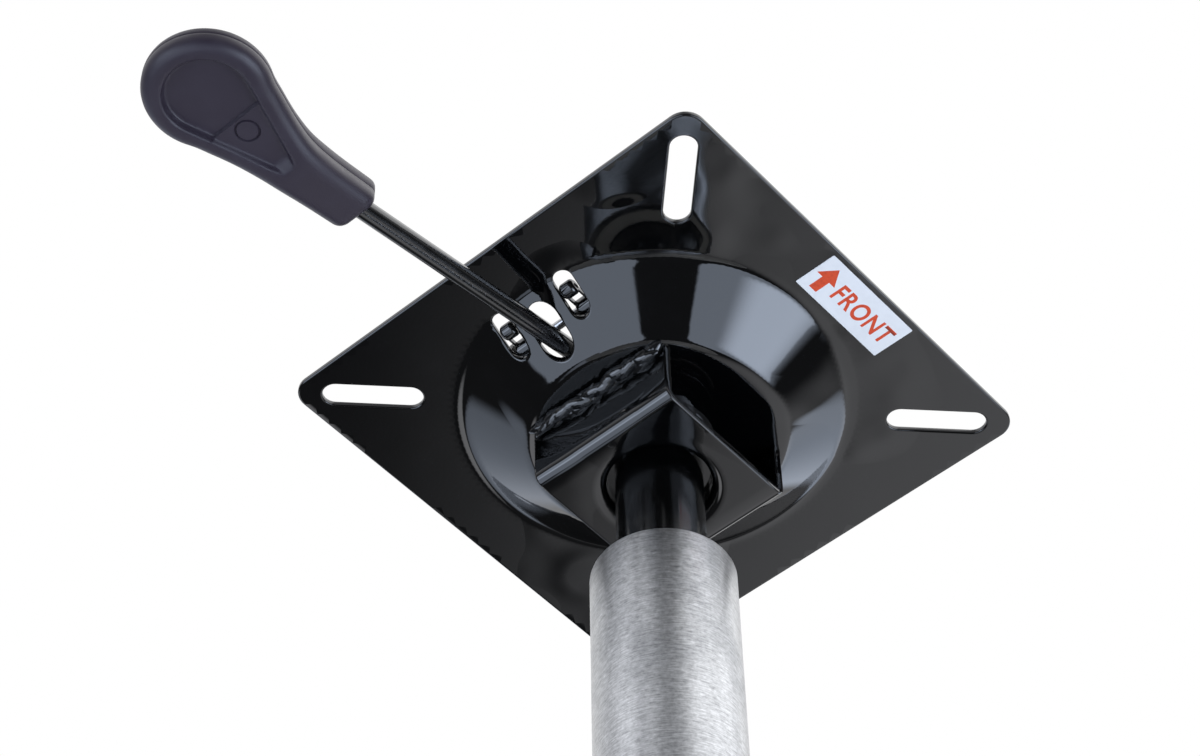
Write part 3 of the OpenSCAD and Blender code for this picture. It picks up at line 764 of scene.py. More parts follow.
def stadium(cx: float, cy: float, half: float, r: float, deg: float, n: int = 14) -> EdgeFn:
    """A round-ended slot as an edge function.

    Args:
        cx: Middle of the slot along X.
        cy: Middle of the slot along Y.
        half: Half the distance between its two end centres.
        r: Half its width.
        deg: Its direction.
        n: Segments in each end.

    Returns:
        A function from the distance into the sheet to the slot's points.
    """
    w = math.radians(deg)
    turn = np.array([[math.cos(w), math.sin(w)], [-math.sin(w), math.cos(w)]])

    def at(inset: float) -> np.ndarray:
        """The slot's outline at a distance outside it.

        Args:
            inset: The distance.

        Returns:
            Its points, anticlockwise.
        """
        rr = r + inset
        side = np.linspace(-half, half, max(3, int(half / 1.5)))[1:-1]
        loop = np.vstack([
            arc(half, 0, rr, -90, 90, n),
            np.c_[side[::-1], np.full(len(side), rr)],
            arc(-half, 0, rr, 90, 270, n),
            np.c_[side, np.full(len(side), -rr)],
        ])
        return loop @ turn + [cx, cy]

    return at


def circle_edge(
    r: float, sign: float, n: int = 96, cx: float = 0.0, cy: float = 0.0
) -> EdgeFn:
    """A circle as an edge function.

    Args:
        r: Its radius.
        sign: 1 for a hole and -1 for an outline.
        n: Its segments.
        cx: Its middle along X.
        cy: Its middle along Y.

    Returns:
        A function from the distance into the sheet to the circle's points.
    """
    return lambda inset: arc(cx, cy, r + sign * inset, 0, 360, n)[:-1]


def level(z: float) -> PointFn:
    """A flat face's height as a function of the plan."""
    return lambda x, y: np.full(len(x), z)


def inside(points: np.ndarray, loop: np.ndarray) -> np.ndarray:
    """Which points lie inside a closed loop.

    Args:
        points: The points.
        loop: The loop's points.

    Returns:
        True for each point inside.
    """
    x, y = points[:, 0][:, None], points[:, 1][:, None]
    x0, y0 = loop[:, 0], loop[:, 1]
    x1, y1 = np.roll(x0, -1), np.roll(y0, -1)
    crosses = (y0 > y) != (y1 > y)
    with np.errstate(divide="ignore", invalid="ignore"):
        at = x0 + (y - y0) * (x1 - x0) / (y1 - y0)
    return (crosses & (x < at)).sum(1) % 2 == 1


def edge_rows(edge: Edge, top: PointFn, bottom: PointFn) -> list[np.ndarray]:
    """Rows of points round one edge of a sheet.

    Args:
        edge: The edge.
        top: Height of the upper face.
        bottom: Height of the lower face.

    Returns:
        The rows, from the upper to the lower face.
    """
    if edge.rim is not None:
        return edge.rim()
    r, rows = edge.radius, []
    for side, face, angles in ((1, top, (90, 60, 30, 0)), (-1, bottom, (0, 30, 60, 90))):
        for a in np.radians(angles):
            p = edge.at(r * (1 - math.cos(a)) if a else 0.0)
            rows.append(np.c_[p, face(p[:, 0], p[:, 1]) - side * r * (1 - math.sin(a))])
    return rows


def clear_of(
    edges: Sequence[Edge], loops: Sequence[np.ndarray], points: np.ndarray, clear: float
) -> np.ndarray:
    """Drops the fill points that lie outside a sheet or near its edges.

    A ring of points just beside each rounded edge is added, which keeps the edge's shading off
    the flat.

    Args:
        edges: The outline first, then the holes.
        loops: The points of each edge.
        points: The fill points.
        clear: Points nearer to an edge than this are dropped.

    Returns:
        The points that stay, and the rings.
    """
    for edge, loop in zip(edges, loops):
        keep = inside(points, loop)
        points = points[~keep if edge.hole else keep]
        gap = np.min(np.linalg.norm(points[:, None] - loop[None], axis=2), axis=1)
        points = points[gap > clear]
    guards = [edge.at(edge.radius + min(0.3, clear / 2)) for edge in edges if edge.rim is None]
    return np.vstack([points, *guards])


def triangles(loops: Sequence[np.ndarray], points: np.ndarray) -> np.ndarray:
    """Triangles that fill a flat face.

    Args:
        loops: Points of the outline first, then of the holes.
        points: The points inside.

    Returns:
        Three corners for each triangle, all turning one way, as indices into the loops' points
        followed by the points inside.
    """
    flat = np.vstack([*loops, points])
    links, at = [], 0
    for loop in loops:
        k = len(loop)
        links += [(at + i, at + (i + 1) % k) for i in range(k)]
        at += k
    found = delaunay_2d_cdt([Vector(p) for p in flat], links, [], 0, 1e-7)
    tris = np.array([f for f in found[2] if len(f) == 3])
    origin = np.array([o[0] for o in found[3]])
    tris = origin[tris]
    mid = flat[tris].mean(1)
    keep = inside(mid, loops[0])
    for loop in loops[1:]:
        keep &= ~inside(mid, loop)
    tris = tris[keep]
    a, b, c = (flat[tris[:, k]] for k in range(3))
    u, v = b - a, c - a
    area = u[:, 0] * v[:, 1] - u[:, 1] * v[:, 0]
    return np.where((area > 0)[:, None], tris, tris[:, ::-1])


def sheet(
    edges: Sequence[Edge],
    fill: np.ndarray,
    top: PointFn,
    bottom: PointFn,
    clear: float = 0.6,
) -> MeshData:
    """A sheet between two faces that are functions of its plan, with rounded edges.

    Args:
        edges: The outline first, then the holes.
        fill: Points inside the sheet that its faces pass through.
        top: Height of the upper face.
        bottom: Height of the lower face.
        clear: Fill points nearer to an edge than this are dropped.

    Returns:
        The points and faces, facing outwards.
    """
    verts: list[np.ndarray] = []
    faces: list[list[int]] = []
    uppers, lowers, plans = [], [], []
    start = 0
    for edge in edges:
        rows = edge_rows(edge, top, bottom)
        n = len(rows[0])
        verts.append(np.vstack(rows))
        for f in rings_to_faces(len(rows), n):
            quad = [start + i for i in f]
            faces.append(quad if edge.hole else quad[::-1])
        uppers.append(np.arange(start, start + n))
        lowers.append(np.arange(start + n * (len(rows) - 1), start + n * len(rows)))
        plans.append((rows[0][:, :2], rows[-1][:, :2]))
        start += len(verts[-1])
    points = clear_of(edges, [plan[0] for plan in plans], fill, clear)
    for side, (ids, height) in enumerate(((uppers, top), (lowers, bottom))):
        verts.append(np.c_[points, height(points[:, 0], points[:, 1])])
        index = np.concatenate([*ids, np.arange(start, start + len(points))])
        start += len(points)
        for tri in index[triangles([plan[side] for plan in plans], points)]:
            faces.append(list(tri if side == 0 else tri[::-1]))
    return np.vstack(verts), faces


# ---- Geometry Nodes ----


class BeadTree:
    """A Geometry Nodes tree that lays overlapping weld ripples along a curve.

    Attributes:
        tree: The node tree.
        ids: Identifiers of its inputs, by name.
    """

    def __init__(self) -> None:
        """Builds the tree."""
        tree = bpy.data.node_groups.new("WeldBead", "GeometryNodeTree")
        face = tree.interface
        face.new_socket("Geometry", in_out="INPUT", socket_type="NodeSocketGeometry")
        self.ids: dict[str, str] = {}
        defaults = {"Pitch": 0.002, "Radius": 0.0022, "Stretch": 1.6, "Voxel": 0.0005}
        for key, value in defaults.items():
            socket = face.new_socket(key, in_out="INPUT", socket_type="NodeSocketFloat")
            socket.default_value = value
            self.ids[key] = socket.identifier
        seed = face.new_socket("Seed", in_out="INPUT", socket_type="NodeSocketInt")
        seed.default_value = 3
        self.ids["Seed"] = seed.identifier
        paint = face.new_socket("Material", in_out="INPUT", socket_type="NodeSocketMaterial")
        self.ids["Material"] = paint.identifier
        face.new_socket("Geometry", in_out="OUTPUT", socket_type="NodeSocketGeometry")
        self.tree = tree
        self.wire(Graph(tree))

    @staticmethod
    def wire(g: Graph) -> None:
        """Adds the tree's nodes: ripples along the curve, fused into one skin.

        Args:
            g: The tree, with its inputs and outputs.
        """
        given = g.add("NodeGroupInput").outputs
        curve = g.add("GeometryNodeMeshToCurve", Mesh=given["Geometry"])
        spots = g.add("GeometryNodeCurveToPoints", mode="LENGTH",
                      Curve=curve.outputs["Curve"], Length=given["Pitch"])
        drop = g.add("GeometryNodeMeshIcoSphere", Subdivisions=3, Radius=given["Radius"])
        size = g.add("FunctionNodeRandomValue", data_type="FLOAT", Seed=given["Seed"])
        for index, limit in ((2, 0.68), (3, 1.2)):  # Min and Max of a plain number
            size.inputs[index].default_value = limit
        shape = g.add("ShaderNodeCombineXYZ", X=size.outputs[1], Y=size.outputs[1],
                      Z=given["Stretch"])
        lay = g.add("GeometryNodeInstanceOnPoints", Points=spots.outputs["Points"],
                    Instance=drop.outputs["Mesh"], Rotation=spots.outputs["Rotation"],
                    Scale=shape.outputs["Vector"])
        real = g.add("GeometryNodeRealizeInstances", Geometry=lay.outputs["Instances"])
        volume = g.add("GeometryNodeMeshToVolume", resolution_mode="VOXEL_SIZE",
                       Mesh=real.outputs["Geometry"], Voxel_Size=given["Voxel"])
        skin = g.add("GeometryNodeVolumeToMesh", Threshold=0.1, Volume=volume.outputs["Volume"])
        smooth = g.add("GeometryNodeSetShadeSmooth", Geometry=skin.outputs["Mesh"])
        painted = g.add("GeometryNodeSetMaterial", Geometry=smooth.outputs["Geometry"],
                        Material=given["Material"])
        g.add("NodeGroupOutput", Geometry=painted.outputs["Geometry"])

    def lay(
        self,
        name: str,
        path: np.ndarray,
        finish: str,
        body: Body,
        replaces: Sequence[str],
        **values: float,
    ) -> bpy.types.Object:
        """Lays one bead and turns it into a plain mesh.

        Args:
            name: The object's name.
            path: The bead's line, in millimetres.
            finish: Name of the finish.
            body: The body that the bead rides on.
            replaces: CAD nodes that the bead stands for.
            **values: Inputs of the tree by name.

        Returns:
            The new object.
        """
        links = [(i, i + 1) for i in range(len(path) - 1)]
        line = bpy.data.meshes.new(name + "_line")
        line.from_pydata((path * MM).tolist(), links, [])
        carrier = bpy.data.objects.new(name + "_line", line)
        bpy.context.scene.collection.objects.link(carrier)
        modifier = carrier.modifiers.new("bead", "NODES")
        modifier.node_group = self.tree
        modifier[self.ids["Material"]] = material(finish)
        for key, value in values.items():
            modifier[self.ids[key]] = value
        graph = bpy.context.evaluated_depsgraph_get()
        mesh = bpy.data.meshes.new_from_object(carrier.evaluated_get(graph))
        carrier.modifiers.remove(modifier)
        bpy.data.objects.remove(carrier)
        mesh.name = name
        return tie_to_frame(name, mesh, body, replaces)


# ---- Sub-assemblies ----


def span(node: str) -> tuple[np.ndarray, np.ndarray]:
    """Lowest and highest corner of a CAD node, in millimetres."""
    lo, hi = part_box(node)
    return np.array(lo) / MM, np.array(hi) / MM


@dataclass
class SeatPlate:
    """The pressed square plate with its dish, slots, wall openings and lugs.

    Attributes:
        side: Side of the square.
        thick: Sheet thickness.
        corner: Corner radius.
        dish_r: Radius where the wall's line meets the flange.
        depth: Depth of the dish.
        slope: Slope of the wall, in degrees.
        bend: Bend radius at the rim and the floor.
        hole_r: Radius of the hole for the taper socket.
        slot_ends: Distance of the bolt slots' two ends from the middle.
        slot_r: Half the width of the bolt slots.
        mouth: Opening for the rod, as its middle's X, half length and half width.
        window: The openings beside it, in the same way.
        window_y: Distance of the windows from the middle line.
        cut: Rounding of the openings' edges.
        pin_x: Distance of the pivot pin from the middle.
        pin_drop: Depth of the pivot pin below the plate's underside.
        pin_r: Radius of the pin's hole.
        lug_r: Radius of the lugs' round ends.
        lug_y: Distance of the lugs' inner and outer faces from the middle line.
    """

    side: float = 168.0
    thick: float = 2.0
    corner: float = 7.0
    dish_r: float = 62.8
    depth: float = 16.5
    slope: float = 37.0
    bend: float = 6.0
    hole_r: float = 16.5
    slot_ends: tuple[float, float] = (75.4, 108.0)
    slot_r: float = 4.3
    mouth: tuple[float, float, float] = (-51.75, 2.85, 5.4)
    window: tuple[float, float, float] = (-56.2, 3.7, 3.3)
    window_y: float = 12.8
    cut: float = 0.45
    pin_x: float = 48.2
    pin_drop: float = 2.0
    pin_r: float = 1.5
    lug_r: float = 3.6
    lug_y: tuple[float, float] = (16.1, 18.1)

    @property
    def under(self) -> float:
        """Height of the plate's underside."""
        return span("seat_plate")[1][2] - self.thick

    def face(self, up: float) -> PointFn:
        """Height of one face of the sheet.

        Args:
            up: Height of the face above the sheet's underside.

        Returns:
            The height as a function of the plan.
        """
        tan, sin = math.tan(math.radians(self.slope)), math.sin(math.radians(self.slope))
        cos = math.cos(math.radians(self.slope))
        run = self.bend * math.tan(math.radians(self.slope / 2))
        r1 = self.dish_r + run
        r2 = self.dish_r - self.depth / tan - run
        b1, b2 = self.bend + up, self.bend - up
        z1, z2 = -self.bend, self.bend - self.depth

        def height(x: np.ndarray, y: np.ndarray) -> np.ndarray:
            """Height of the flange and rim, the wall or the floor of the dish.

            Args:
                x: Places along X.
                y: Places along Y.

            Returns:
                The heights.
            """
            r = np.hypot(x, y)
            rim = z1 + np.sqrt(np.clip(b1**2 - np.clip(r1 - r, 0, b1) ** 2, 0, None))
            low = z2 - np.sqrt(np.clip(b2**2 - np.clip(r - r2, 0, b2) ** 2, 0, None))
            wall = z1 + b1 * cos + (r - (r1 - b1 * sin)) * tan
            z = np.where(r > r1 - b1 * sin, rim, np.where(r < r2 + b2 * sin, low, wall))
            return z + self.under

        return height

    def outline(self, inset: float) -> np.ndarray:
        """The plate's outline.

        Args:
            inset: Distance into the sheet.

        Returns:
            Its points, anticlockwise.
        """
        half = self.side / 2
        c = half - self.corner
        side = np.linspace(-c, c, 29)[1:-1]
        quarter = np.vstack([
            np.c_[np.full(len(side), half - inset), side],
            arc(c, c, self.corner - inset, 0, 90, 10),
        ])
        parts = []
        for k in range(4):
            a = math.radians(90 * k)
            turn = np.array([[math.cos(a), math.sin(a)], [-math.sin(a), math.cos(a)]])
            parts.append(quarter @ turn)
        return np.vstack(parts)

    def edges(self) -> list[Edge]:
        """The outline and every hole of the plate.

        Returns:
            The outline first, then the holes.
        """
        near, far = self.slot_ends
        mid, half = (near + far) / 2, (far - near) / 2 - self.slot_r
        slots = []
        for deg in (45, 135, 225, 315):
            w = math.radians(deg)
            slots.append(stadium(mid * math.cos(w), mid * math.sin(w), half, self.slot_r, deg))
        for (x, run, r), y in (
            (self.mouth, 0), (self.window, -self.window_y), (self.window, self.window_y)
        ):
            slots.append(stadium(x, y, run, r, 0))
        return [
            Edge(self.outline, radius=0.5),
            *(Edge(slot, hole=True, radius=self.cut) for slot in slots),
            Edge(circle_edge(self.hole_r + 0.02, 1), hole=True, radius=0.3),
        ]

    def fill(self) -> np.ndarray:
        """Points that the plate's faces pass through, dense where the dish bends.

        Returns:
            The points.
        """
        radii = np.r_[np.arange(19.5, 36, 4), np.arange(37, 45, 0.8), np.arange(46, 57, 2.2),
                      np.arange(57.5, 66.5, 0.8), 68.5, 71.5]
        rings = [arc(0, 0, r, 1.25 * (k % 2), 360 + 1.25 * (k % 2), 144)[:-1]
                 for k, r in enumerate(radii)]
        grid = np.linspace(-81, 81, 28)
        gx, gy = (v.ravel() for v in np.meshgrid(grid, grid))
        far = np.hypot(gx, gy) > 74.5
        return np.vstack([*rings, np.c_[gx[far], gy[far]]])

    def build(self) -> None:
        """Builds the plate and its two lugs as one piece."""
        inner, outer = self.lug_y
        verts, faces = joined([
            sheet(self.edges(), self.fill(), self.face(self.thick), self.face(0.0)),
            *(self.lug(y0, outer - inner) for y0 in (inner, -outer))])
        place_piece("plate_pressing", verts, faces, "gloss_black", Body.HEAD, ["seat_plate"])

    def lug(self, y0: float, width: float) -> MeshData:
        """One lug with a rounded top, standing on the dish's wall.

        Args:
            y0: Place of its nearer face along Y.
            width: Its thickness.

        Returns:
            The points and faces.
        """
        z = self.under - self.pin_drop
        wall = self.face(self.thick / 2)
        x = np.array([-self.pin_x - self.lug_r, -self.pin_x + self.lug_r])
        foot = wall(x, np.full(2, y0 + width / 2)) - self.under + self.pin_drop

        def outline(inset: float) -> np.ndarray:
            """The lug's outline at a distance inside it.

            Args:
                inset: The distance.

            Returns:
                Its points, anticlockwise.
            """
            r = self.lug_r - inset
            top = arc(0, 0, r, 0, 180, 20)
            left = np.c_[np.full(4, -r), np.linspace(0, foot[0] + inset, 5)[1:]]
            right = np.c_[np.full(4, r), np.linspace(foot[1] + inset, 0, 5)[:-1]]
            return np.vstack([top, left, right])

        verts, faces = sheet(
            [Edge(outline, radius=0.4),
             Edge(circle_edge(self.pin_r, 1, 28), hole=True, radius=0.2)],
            np.array([[0.0, -3.2]]), level(width), level(0.0), 0.3)
        placed = np.c_[-self.pin_x + verts[:, 0], y0 + width - verts[:, 2], z + verts[:, 1]]
        return placed, faces


@dataclass
class Bracket:
    """The bent channel under the dish, with its drawn collar.

    Attributes:
        width: Outer width.
        length: Length along Y.
        height: Height.
        thick: Sheet thickness.
        bend: Outer bend radius.
        throat: Radius of the collar's bore.
        entry: Radius of the collar's rounded entry.
        collar: Height of the collar.
        wall: Wall of the collar.
    """

    width: float = 57.5
    length: float = 54.5
    height: float = 22.8
    thick: float = 3.0
    bend: float = 4.0
    throat: float = 16.5
    entry: float = 3.7
    collar: float = 9.0
    wall: float = 2.5

    def place(self, p: np.ndarray) -> np.ndarray:
        """Folds flat points into the channel.

        Args:
            p: Points as distance along the section, along Y and above the outer face.

        Returns:
            The points in the part's frame.
        """
        low = span("channel_bracket")[0][2]
        s, y, w = p.T
        flat = self.width / 2 - self.bend
        mean = self.bend - self.thick / 2
        bent = mean * math.pi / 2
        a = np.clip((np.abs(s) - flat) / mean, 0, math.pi / 2)
        up = np.clip(np.abs(s) - flat - bent, 0, None)
        r = self.bend - w
        in_flat = np.abs(s) <= flat
        x = np.where(in_flat, s, np.sign(s) * (flat + r * np.sin(a)))
        z = np.where(in_flat, w, self.bend - r * np.cos(a) + up)
        return np.c_[x, y, low + z]

    def build(self) -> None:
        """Builds the bracket as one piece."""
        flat = self.width / 2 - self.bend
        turn = flat + (self.bend - self.thick / 2) * math.pi / 2
        half_s, half_y = turn + self.height - self.bend, self.length / 2
        reach = self.throat + self.entry
        stops = ((-half_s, -turn, 6), (-turn, -flat, 7), (-flat, flat, 13), (flat, turn, 7),
                 (turn, half_s, 6))
        columns = np.unique(np.concatenate([np.linspace(*stop) for stop in stops]).round(6))

        def outline(inset: float) -> np.ndarray:
            """The flat sheet's outline at a distance inside it.

            Args:
                inset: The distance.

            Returns:
                Its points, anticlockwise.
            """
            a, b = half_s - inset, half_y - inset
            us = np.concatenate([[-half_s], *(np.linspace(*stop)[1:] for stop in stops)])
            us = np.clip(us, -a, a)
            vs = np.clip(np.linspace(-half_y, half_y, 15), -b, b)[1:-1]
            return np.vstack([
                np.c_[us, np.full(len(us), -b)], np.c_[np.full(len(vs), a), vs],
                np.c_[us[::-1], np.full(len(us), b)], np.c_[np.full(len(vs), -a), vs[::-1]]])

        gx, gy = (v.ravel() for v in np.meshgrid(
            columns[1:-1], np.linspace(-half_y, half_y, 15)[1:-1]))
        ring = arc(0, 0, reach + 1.3, 0, 360, 72)[:-1]
        verts, faces = sheet(
            [Edge(outline, radius=0.5), Edge(circle_edge(reach, 1), hole=True, rim=self.rim)],
            np.vstack([np.c_[gx, gy], ring]), level(self.thick), level(0.0))
        place_piece("bracket_channel", self.place(verts), faces, "gloss_black", Body.HEAD,
                    ["channel_bracket"])

    def rim(self) -> list[np.ndarray]:
        """The drawn collar's section, turned round the tube.

        Returns:
            Rows of points from the sheet's inner face over the collar to its outer face.
        """
        reach, t, lip = self.throat + self.entry, self.thick, 0.5
        return rows_round(np.vstack([
            [[reach, t]], arc(reach + 0.2, t + 1.2, 1.2, 260, 180, 5),
            arc(self.throat + self.wall - lip, self.collar - lip, lip, 0, 90, 3),
            arc(self.throat + lip, self.collar - lip, lip, 90, 180, 3),
            arc(reach, self.entry, self.entry, 180, 270, 9)]), 96)


@dataclass
class Column:
    """The post and the gas cylinder's tube.

    Attributes:
        post_wall: Wall of the post.
        tube_end: Thickness of the cylinder tube's lower end.
        tube_round: Rounding of that end.
        tube_in: Inner radius of the cylinder's tube.
        lip_in: Inner radius of the tube's upper lip.
        lip: Height of that lip.
        eye: Radius of the hole in the tube's lower end.
        taper: Slope of the tube's upper end, in degrees.
    """

    post_wall: float = 2.5
    tube_end: float = 1.5
    tube_round: float = 1.5
    tube_in: float = 12.0
    lip_in: float = 11.2
    lip: float = 1.0
    eye: float = 6.0
    taper: float = 1.43

    def build(self) -> None:
        """Builds the turned pieces that show."""
        self.post()
        self.cylinder()

    def post(self) -> None:
        """Builds the metal post."""
        lo, hi = span("post_tube")
        r, inner = hi[0], hi[0] - self.post_wall
        turned("post_brushed_tube", [
            (inner, lo[2], 0.2), (r, lo[2], 0.2), (r, hi[2], 0.45), (inner, hi[2], 0.4)],
            "post_brushed", Body.COLUMN, ["post_tube"], 192)

    def cylinder(self) -> None:
        """Builds the gas cylinder's painted tube."""
        lo, hi = span("gas_cylinder")
        socket = span("taper_socket")[0][2]
        r, top, low = hi[0], hi[2], lo[2]
        tip = r - (top - socket) * math.tan(math.radians(self.taper))
        turned("cylinder_tube", [
            (self.eye, low, 0.3), (r, low, self.tube_round), (r, socket, 4.0), (tip, top, 0.6),
            (self.lip_in, top, 0.2), (self.lip_in, top - self.lip, 0.05),
            (self.tube_in, top - self.lip, 0.05), (self.tube_in, low + self.tube_end, 0.1),
            (self.eye, low + self.tube_end, 0.3)],
            "tube_black", Body.HEAD, ["gas_cylinder"], 160)


@dataclass
class FloorBase:
    """The round floor base with its hub and countersunk screw holes.

    Attributes:
        radius: Outer radius.
        rim: Width of the flat rim.
        thick: Thickness of the rim.
        dome: Height of the dome where it meets the hub.
        hub_r: Radius of the hub.
        hub_h: Height of the hub.
        bore: Radius of the hub's bore.
        ledge: Radius of the opening below the post's foot.
        fillet: Radius between dome and hub.
        low: Height of the hub's lower face.
        foot: Height of the post's foot.
        under: Radius at which the underside meets the hub.
        screw_ring: Radius of the ring of screws.
        screw_r: Radius of a screw hole.
        sink_r: Radius at which its countersink starts.
        sink: Depth of the countersink.
        edge: Rounding of the outer edge.
    """

    radius: float = 114.3
    rim: float = 27.0
    thick: float = 4.5
    dome: float = 15.0
    hub_r: float = 27.5
    hub_h: float = 29.0
    bore: float = 22.52
    ledge: float = 17.5
    fillet: float = 6.0
    low: float = 1.0
    foot: float = 4.0
    under: float = 29.5
    screw_ring: float = 101.0
    screw_r: float = 3.4
    sink_r: float = 6.6
    sink: float = 3.2
    edge: float = 2.0

    @property
    def start(self) -> float:
        """Radius at which the dome meets the hub's fillet."""
        return self.hub_r + self.fillet

    @property
    def screws(self) -> list[np.ndarray]:
        """Middles of the screw holes."""
        return [self.screw_ring * np.array([math.cos(math.radians(a)), math.sin(math.radians(a))])
                for a in range(30, 390, 60)]

    @property
    def upper(self) -> np.ndarray:
        """The upper face's section, as radius and height."""
        return rounded([
            (self.start - 9, self.dome + 2.0, 0), (self.start, self.dome, 3.0),
            (self.radius - self.rim, self.thick, 30.0), (self.radius, self.thick, 0)], 8)

    def top(self, x: np.ndarray, y: np.ndarray) -> np.ndarray:
        """Height of the upper face, with the countersinks.

        Args:
            x: Places along X.
            y: Places along Y.

        Returns:
            The heights.
        """
        z = np.interp(np.hypot(x, y), *self.upper.T)
        for cx, cy in self.screws:
            gap = np.hypot(x - cx, y - cy)
            z = np.minimum(z, self.thick - np.clip(self.sink_r - gap, 0, self.sink))
        return z

    def bottom(self, x: np.ndarray, y: np.ndarray) -> np.ndarray:
        """Height of the lower face.

        Args:
            x: Places along X.
            y: Places along Y.

        Returns:
            The heights.
        """
        inner = self.radius - self.rim
        return np.interp(np.hypot(x, y), [self.under, inner - 1, inner],
                         [self.dome - 4.0, 0.5, 0.0])

    def edges(self) -> list[Edge]:
        """The outer edge, the screw holes and the hub.

        Returns:
            The outline first, then the holes.
        """
        radius, edge, soft = self.radius, self.edge, 0.3
        outer = np.vstack([arc(radius - edge, self.thick - edge, edge, 90, 0, 7),
                           [[radius, soft]], [[radius - soft, 0.0]]])
        tip = float(np.interp(self.start, *self.upper.T))
        crown, lip = 1.6, 0.4
        hub = np.vstack([
            arc(self.start, tip + self.fillet, self.fillet, 270, 180, 8),
            arc(self.hub_r - crown, self.hub_h - crown, crown, 0, 90, 5),
            arc(self.bore + lip, self.hub_h - lip, lip, 90, 180, 3),
            [[self.bore, self.foot], [self.ledge, self.foot], [self.ledge, self.low],
             [self.hub_r - 1, self.low], [self.hub_r, self.low + 1],
             [self.hub_r, self.dome - 4.6], [self.under, self.dome - 4.0]]])
        return [
            Edge(circle_edge(radius - edge, -1, 192), rim=lambda: rows_round(outer, 192)),
            *(Edge(circle_edge(self.screw_r, 1, 36, *at), hole=True, radius=0.15)
              for at in self.screws),
            Edge(circle_edge(self.start, 1), hole=True, rim=lambda: rows_round(hub, 144)),
        ]

    def build(self) -> None:
        """Builds the base as one piece."""
        radii = np.unique(np.r_[self.upper[:, 0], np.arange(36, 112, 6), 86.3, 87.3].round(3))
        radii = radii[(radii > self.start + 1) & (radii < 111)]
        rings = [arc(0, 0, r, 0, 360, 144)[:-1] for r in radii]
        near = [p[np.min([np.hypot(*(p - c).T) for c in self.screws], 0) > 8.2] for p in rings]
        marks = [arc(*at, r, 0, 360, 36)[:-1] for at in self.screws
                 for r in (4.4, 5.5, self.sink_r, 7.4)]
        verts, faces = sheet(
            self.edges(), np.vstack([*near, *marks]), self.top, self.bottom, 0.5)
        place_piece("floor_base", verts, faces, "base_brushed", Body.COLUMN, ["base_flange"], 30)


@dataclass
class Lever:
    """The bent rod, its handle and the noses of the rocker's arms.

    Attributes:
        rod_r: Radius of the rod.
        end: Distance of the rod's inner end from the post's middle.
        bend_in: Distance of the inner bend from the post's middle.
        bend_out: Distance of the outer bend.
        slope: Slope between the bends, in degrees.
        tail: Length of the rod inside the handle.
        curve: Radius of the rod's bends.
        chamfer: Chamfer of the rod's inner end.
        nose_y: Distance of each nose's middle from the plate's middle line.
        nose_reach: Distance of the noses from the pivot pin.
        nose_half: Half the width of a nose.
        nose_r: Radius of a nose.
        strap: Thickness of the straps that hold the noses.
        strap_r: Half the straps' height.
        knuckle: Distance from the pin at which the straps start.
    """

    rod_r: float = 3.2
    end: float = 19.5
    bend_in: float = 35.5
    bend_out: float = 165.0
    slope: float = 12.0
    tail: float = 10.0
    curve: float = 14.0
    chamfer: float = 0.4
    nose_y: float = 12.5
    nose_reach: float = 8.7
    nose_half: float = 2.6
    nose_r: float = 2.7
    strap: float = 0.7
    strap_r: float = 0.9
    knuckle: float = 2.8

    @property
    def high(self) -> float:
        """Height of the rod's inner end."""
        return span("lever_rod")[1][2] - self.rod_r

    @property
    def low(self) -> float:
        """Height of the rod's outer end."""
        return self.high - (self.bend_out - self.bend_in) * math.tan(math.radians(self.slope))

    def build(self) -> None:
        """Builds the rod, the noses and the handle."""
        self.rod()
        self.noses()
        Handle(self.bend_out, self.low, self.slope).build()

    def noses(self) -> None:
        """Builds the rounded noses of the rocker's arms that show in the plate's windows."""
        lo, hi = span("pivot_pin")
        pin_x, z = (lo[0] + hi[0]) / 2, (lo[2] + hi[2]) / 2
        half, reach = self.nose_half, self.nose_reach
        r, soft = self.nose_r, 1.8
        section = [(0, -half, 0), (r, -half, soft), (r, half, soft), (0, half, 0)]
        mid, run = pin_x - (reach + self.knuckle) / 2, (reach - self.knuckle) / 2
        loop = stadium(mid, z, run, self.strap_r, 0)
        barrel, round_faces = lathe(rounded(section, 8), 48)
        strap, flat_faces = sheet([Edge(lambda d: loop(-d), radius=0.2)], np.array([[mid, z]]),
                                  level(self.strap), level(0.0), 0.3)
        parts: list[MeshData] = []
        for y in (-self.nose_y, self.nose_y):
            parts.append((np.c_[barrel[:, 0] + pin_x - reach, y - barrel[:, 2], barrel[:, 1] + z],
                          round_faces))
            for low in (y - half, y + half - self.strap):
                parts.append((np.c_[strap[:, 0], low + self.strap - strap[:, 2], strap[:, 1]],
                              flat_faces))
        verts, faces = joined(parts)
        place_piece("rocker_noses", verts, faces, "lever_black", Body.LEVER)

    def rod(self) -> None:
        """Builds the rod with soft bends and a chamfered inner end."""
        r, w = self.curve, math.radians(self.slope)
        t = r * math.tan(math.radians(self.slope / 2))
        outer = arc(-self.bend_out - t, self.low + r, r, 270 + self.slope, 270, 10)
        inner = np.c_[-self.bend_in + t - r * np.sin(np.linspace(0, w, 11)),
                      self.high - r + r * np.cos(np.linspace(0, w, 11))]
        line = np.vstack([
            [[-self.end - d, self.high] for d in (0.0, self.chamfer, 5.0)],
            inner, np.linspace(inner[-1], outer[0], 30)[1:-1], outer,
            [[-self.bend_out - self.tail, self.low]]])
        path = np.c_[line[:, 0], np.zeros(len(line)), line[:, 1]]
        radii = np.full(len(path), self.rod_r)
        radii[0] -= self.chamfer
        verts, faces = sweep(path, radii, 56)
        place_piece("lever_bar", verts, faces, "bar_black", Body.LEVER, ["lever_rod"], 50)


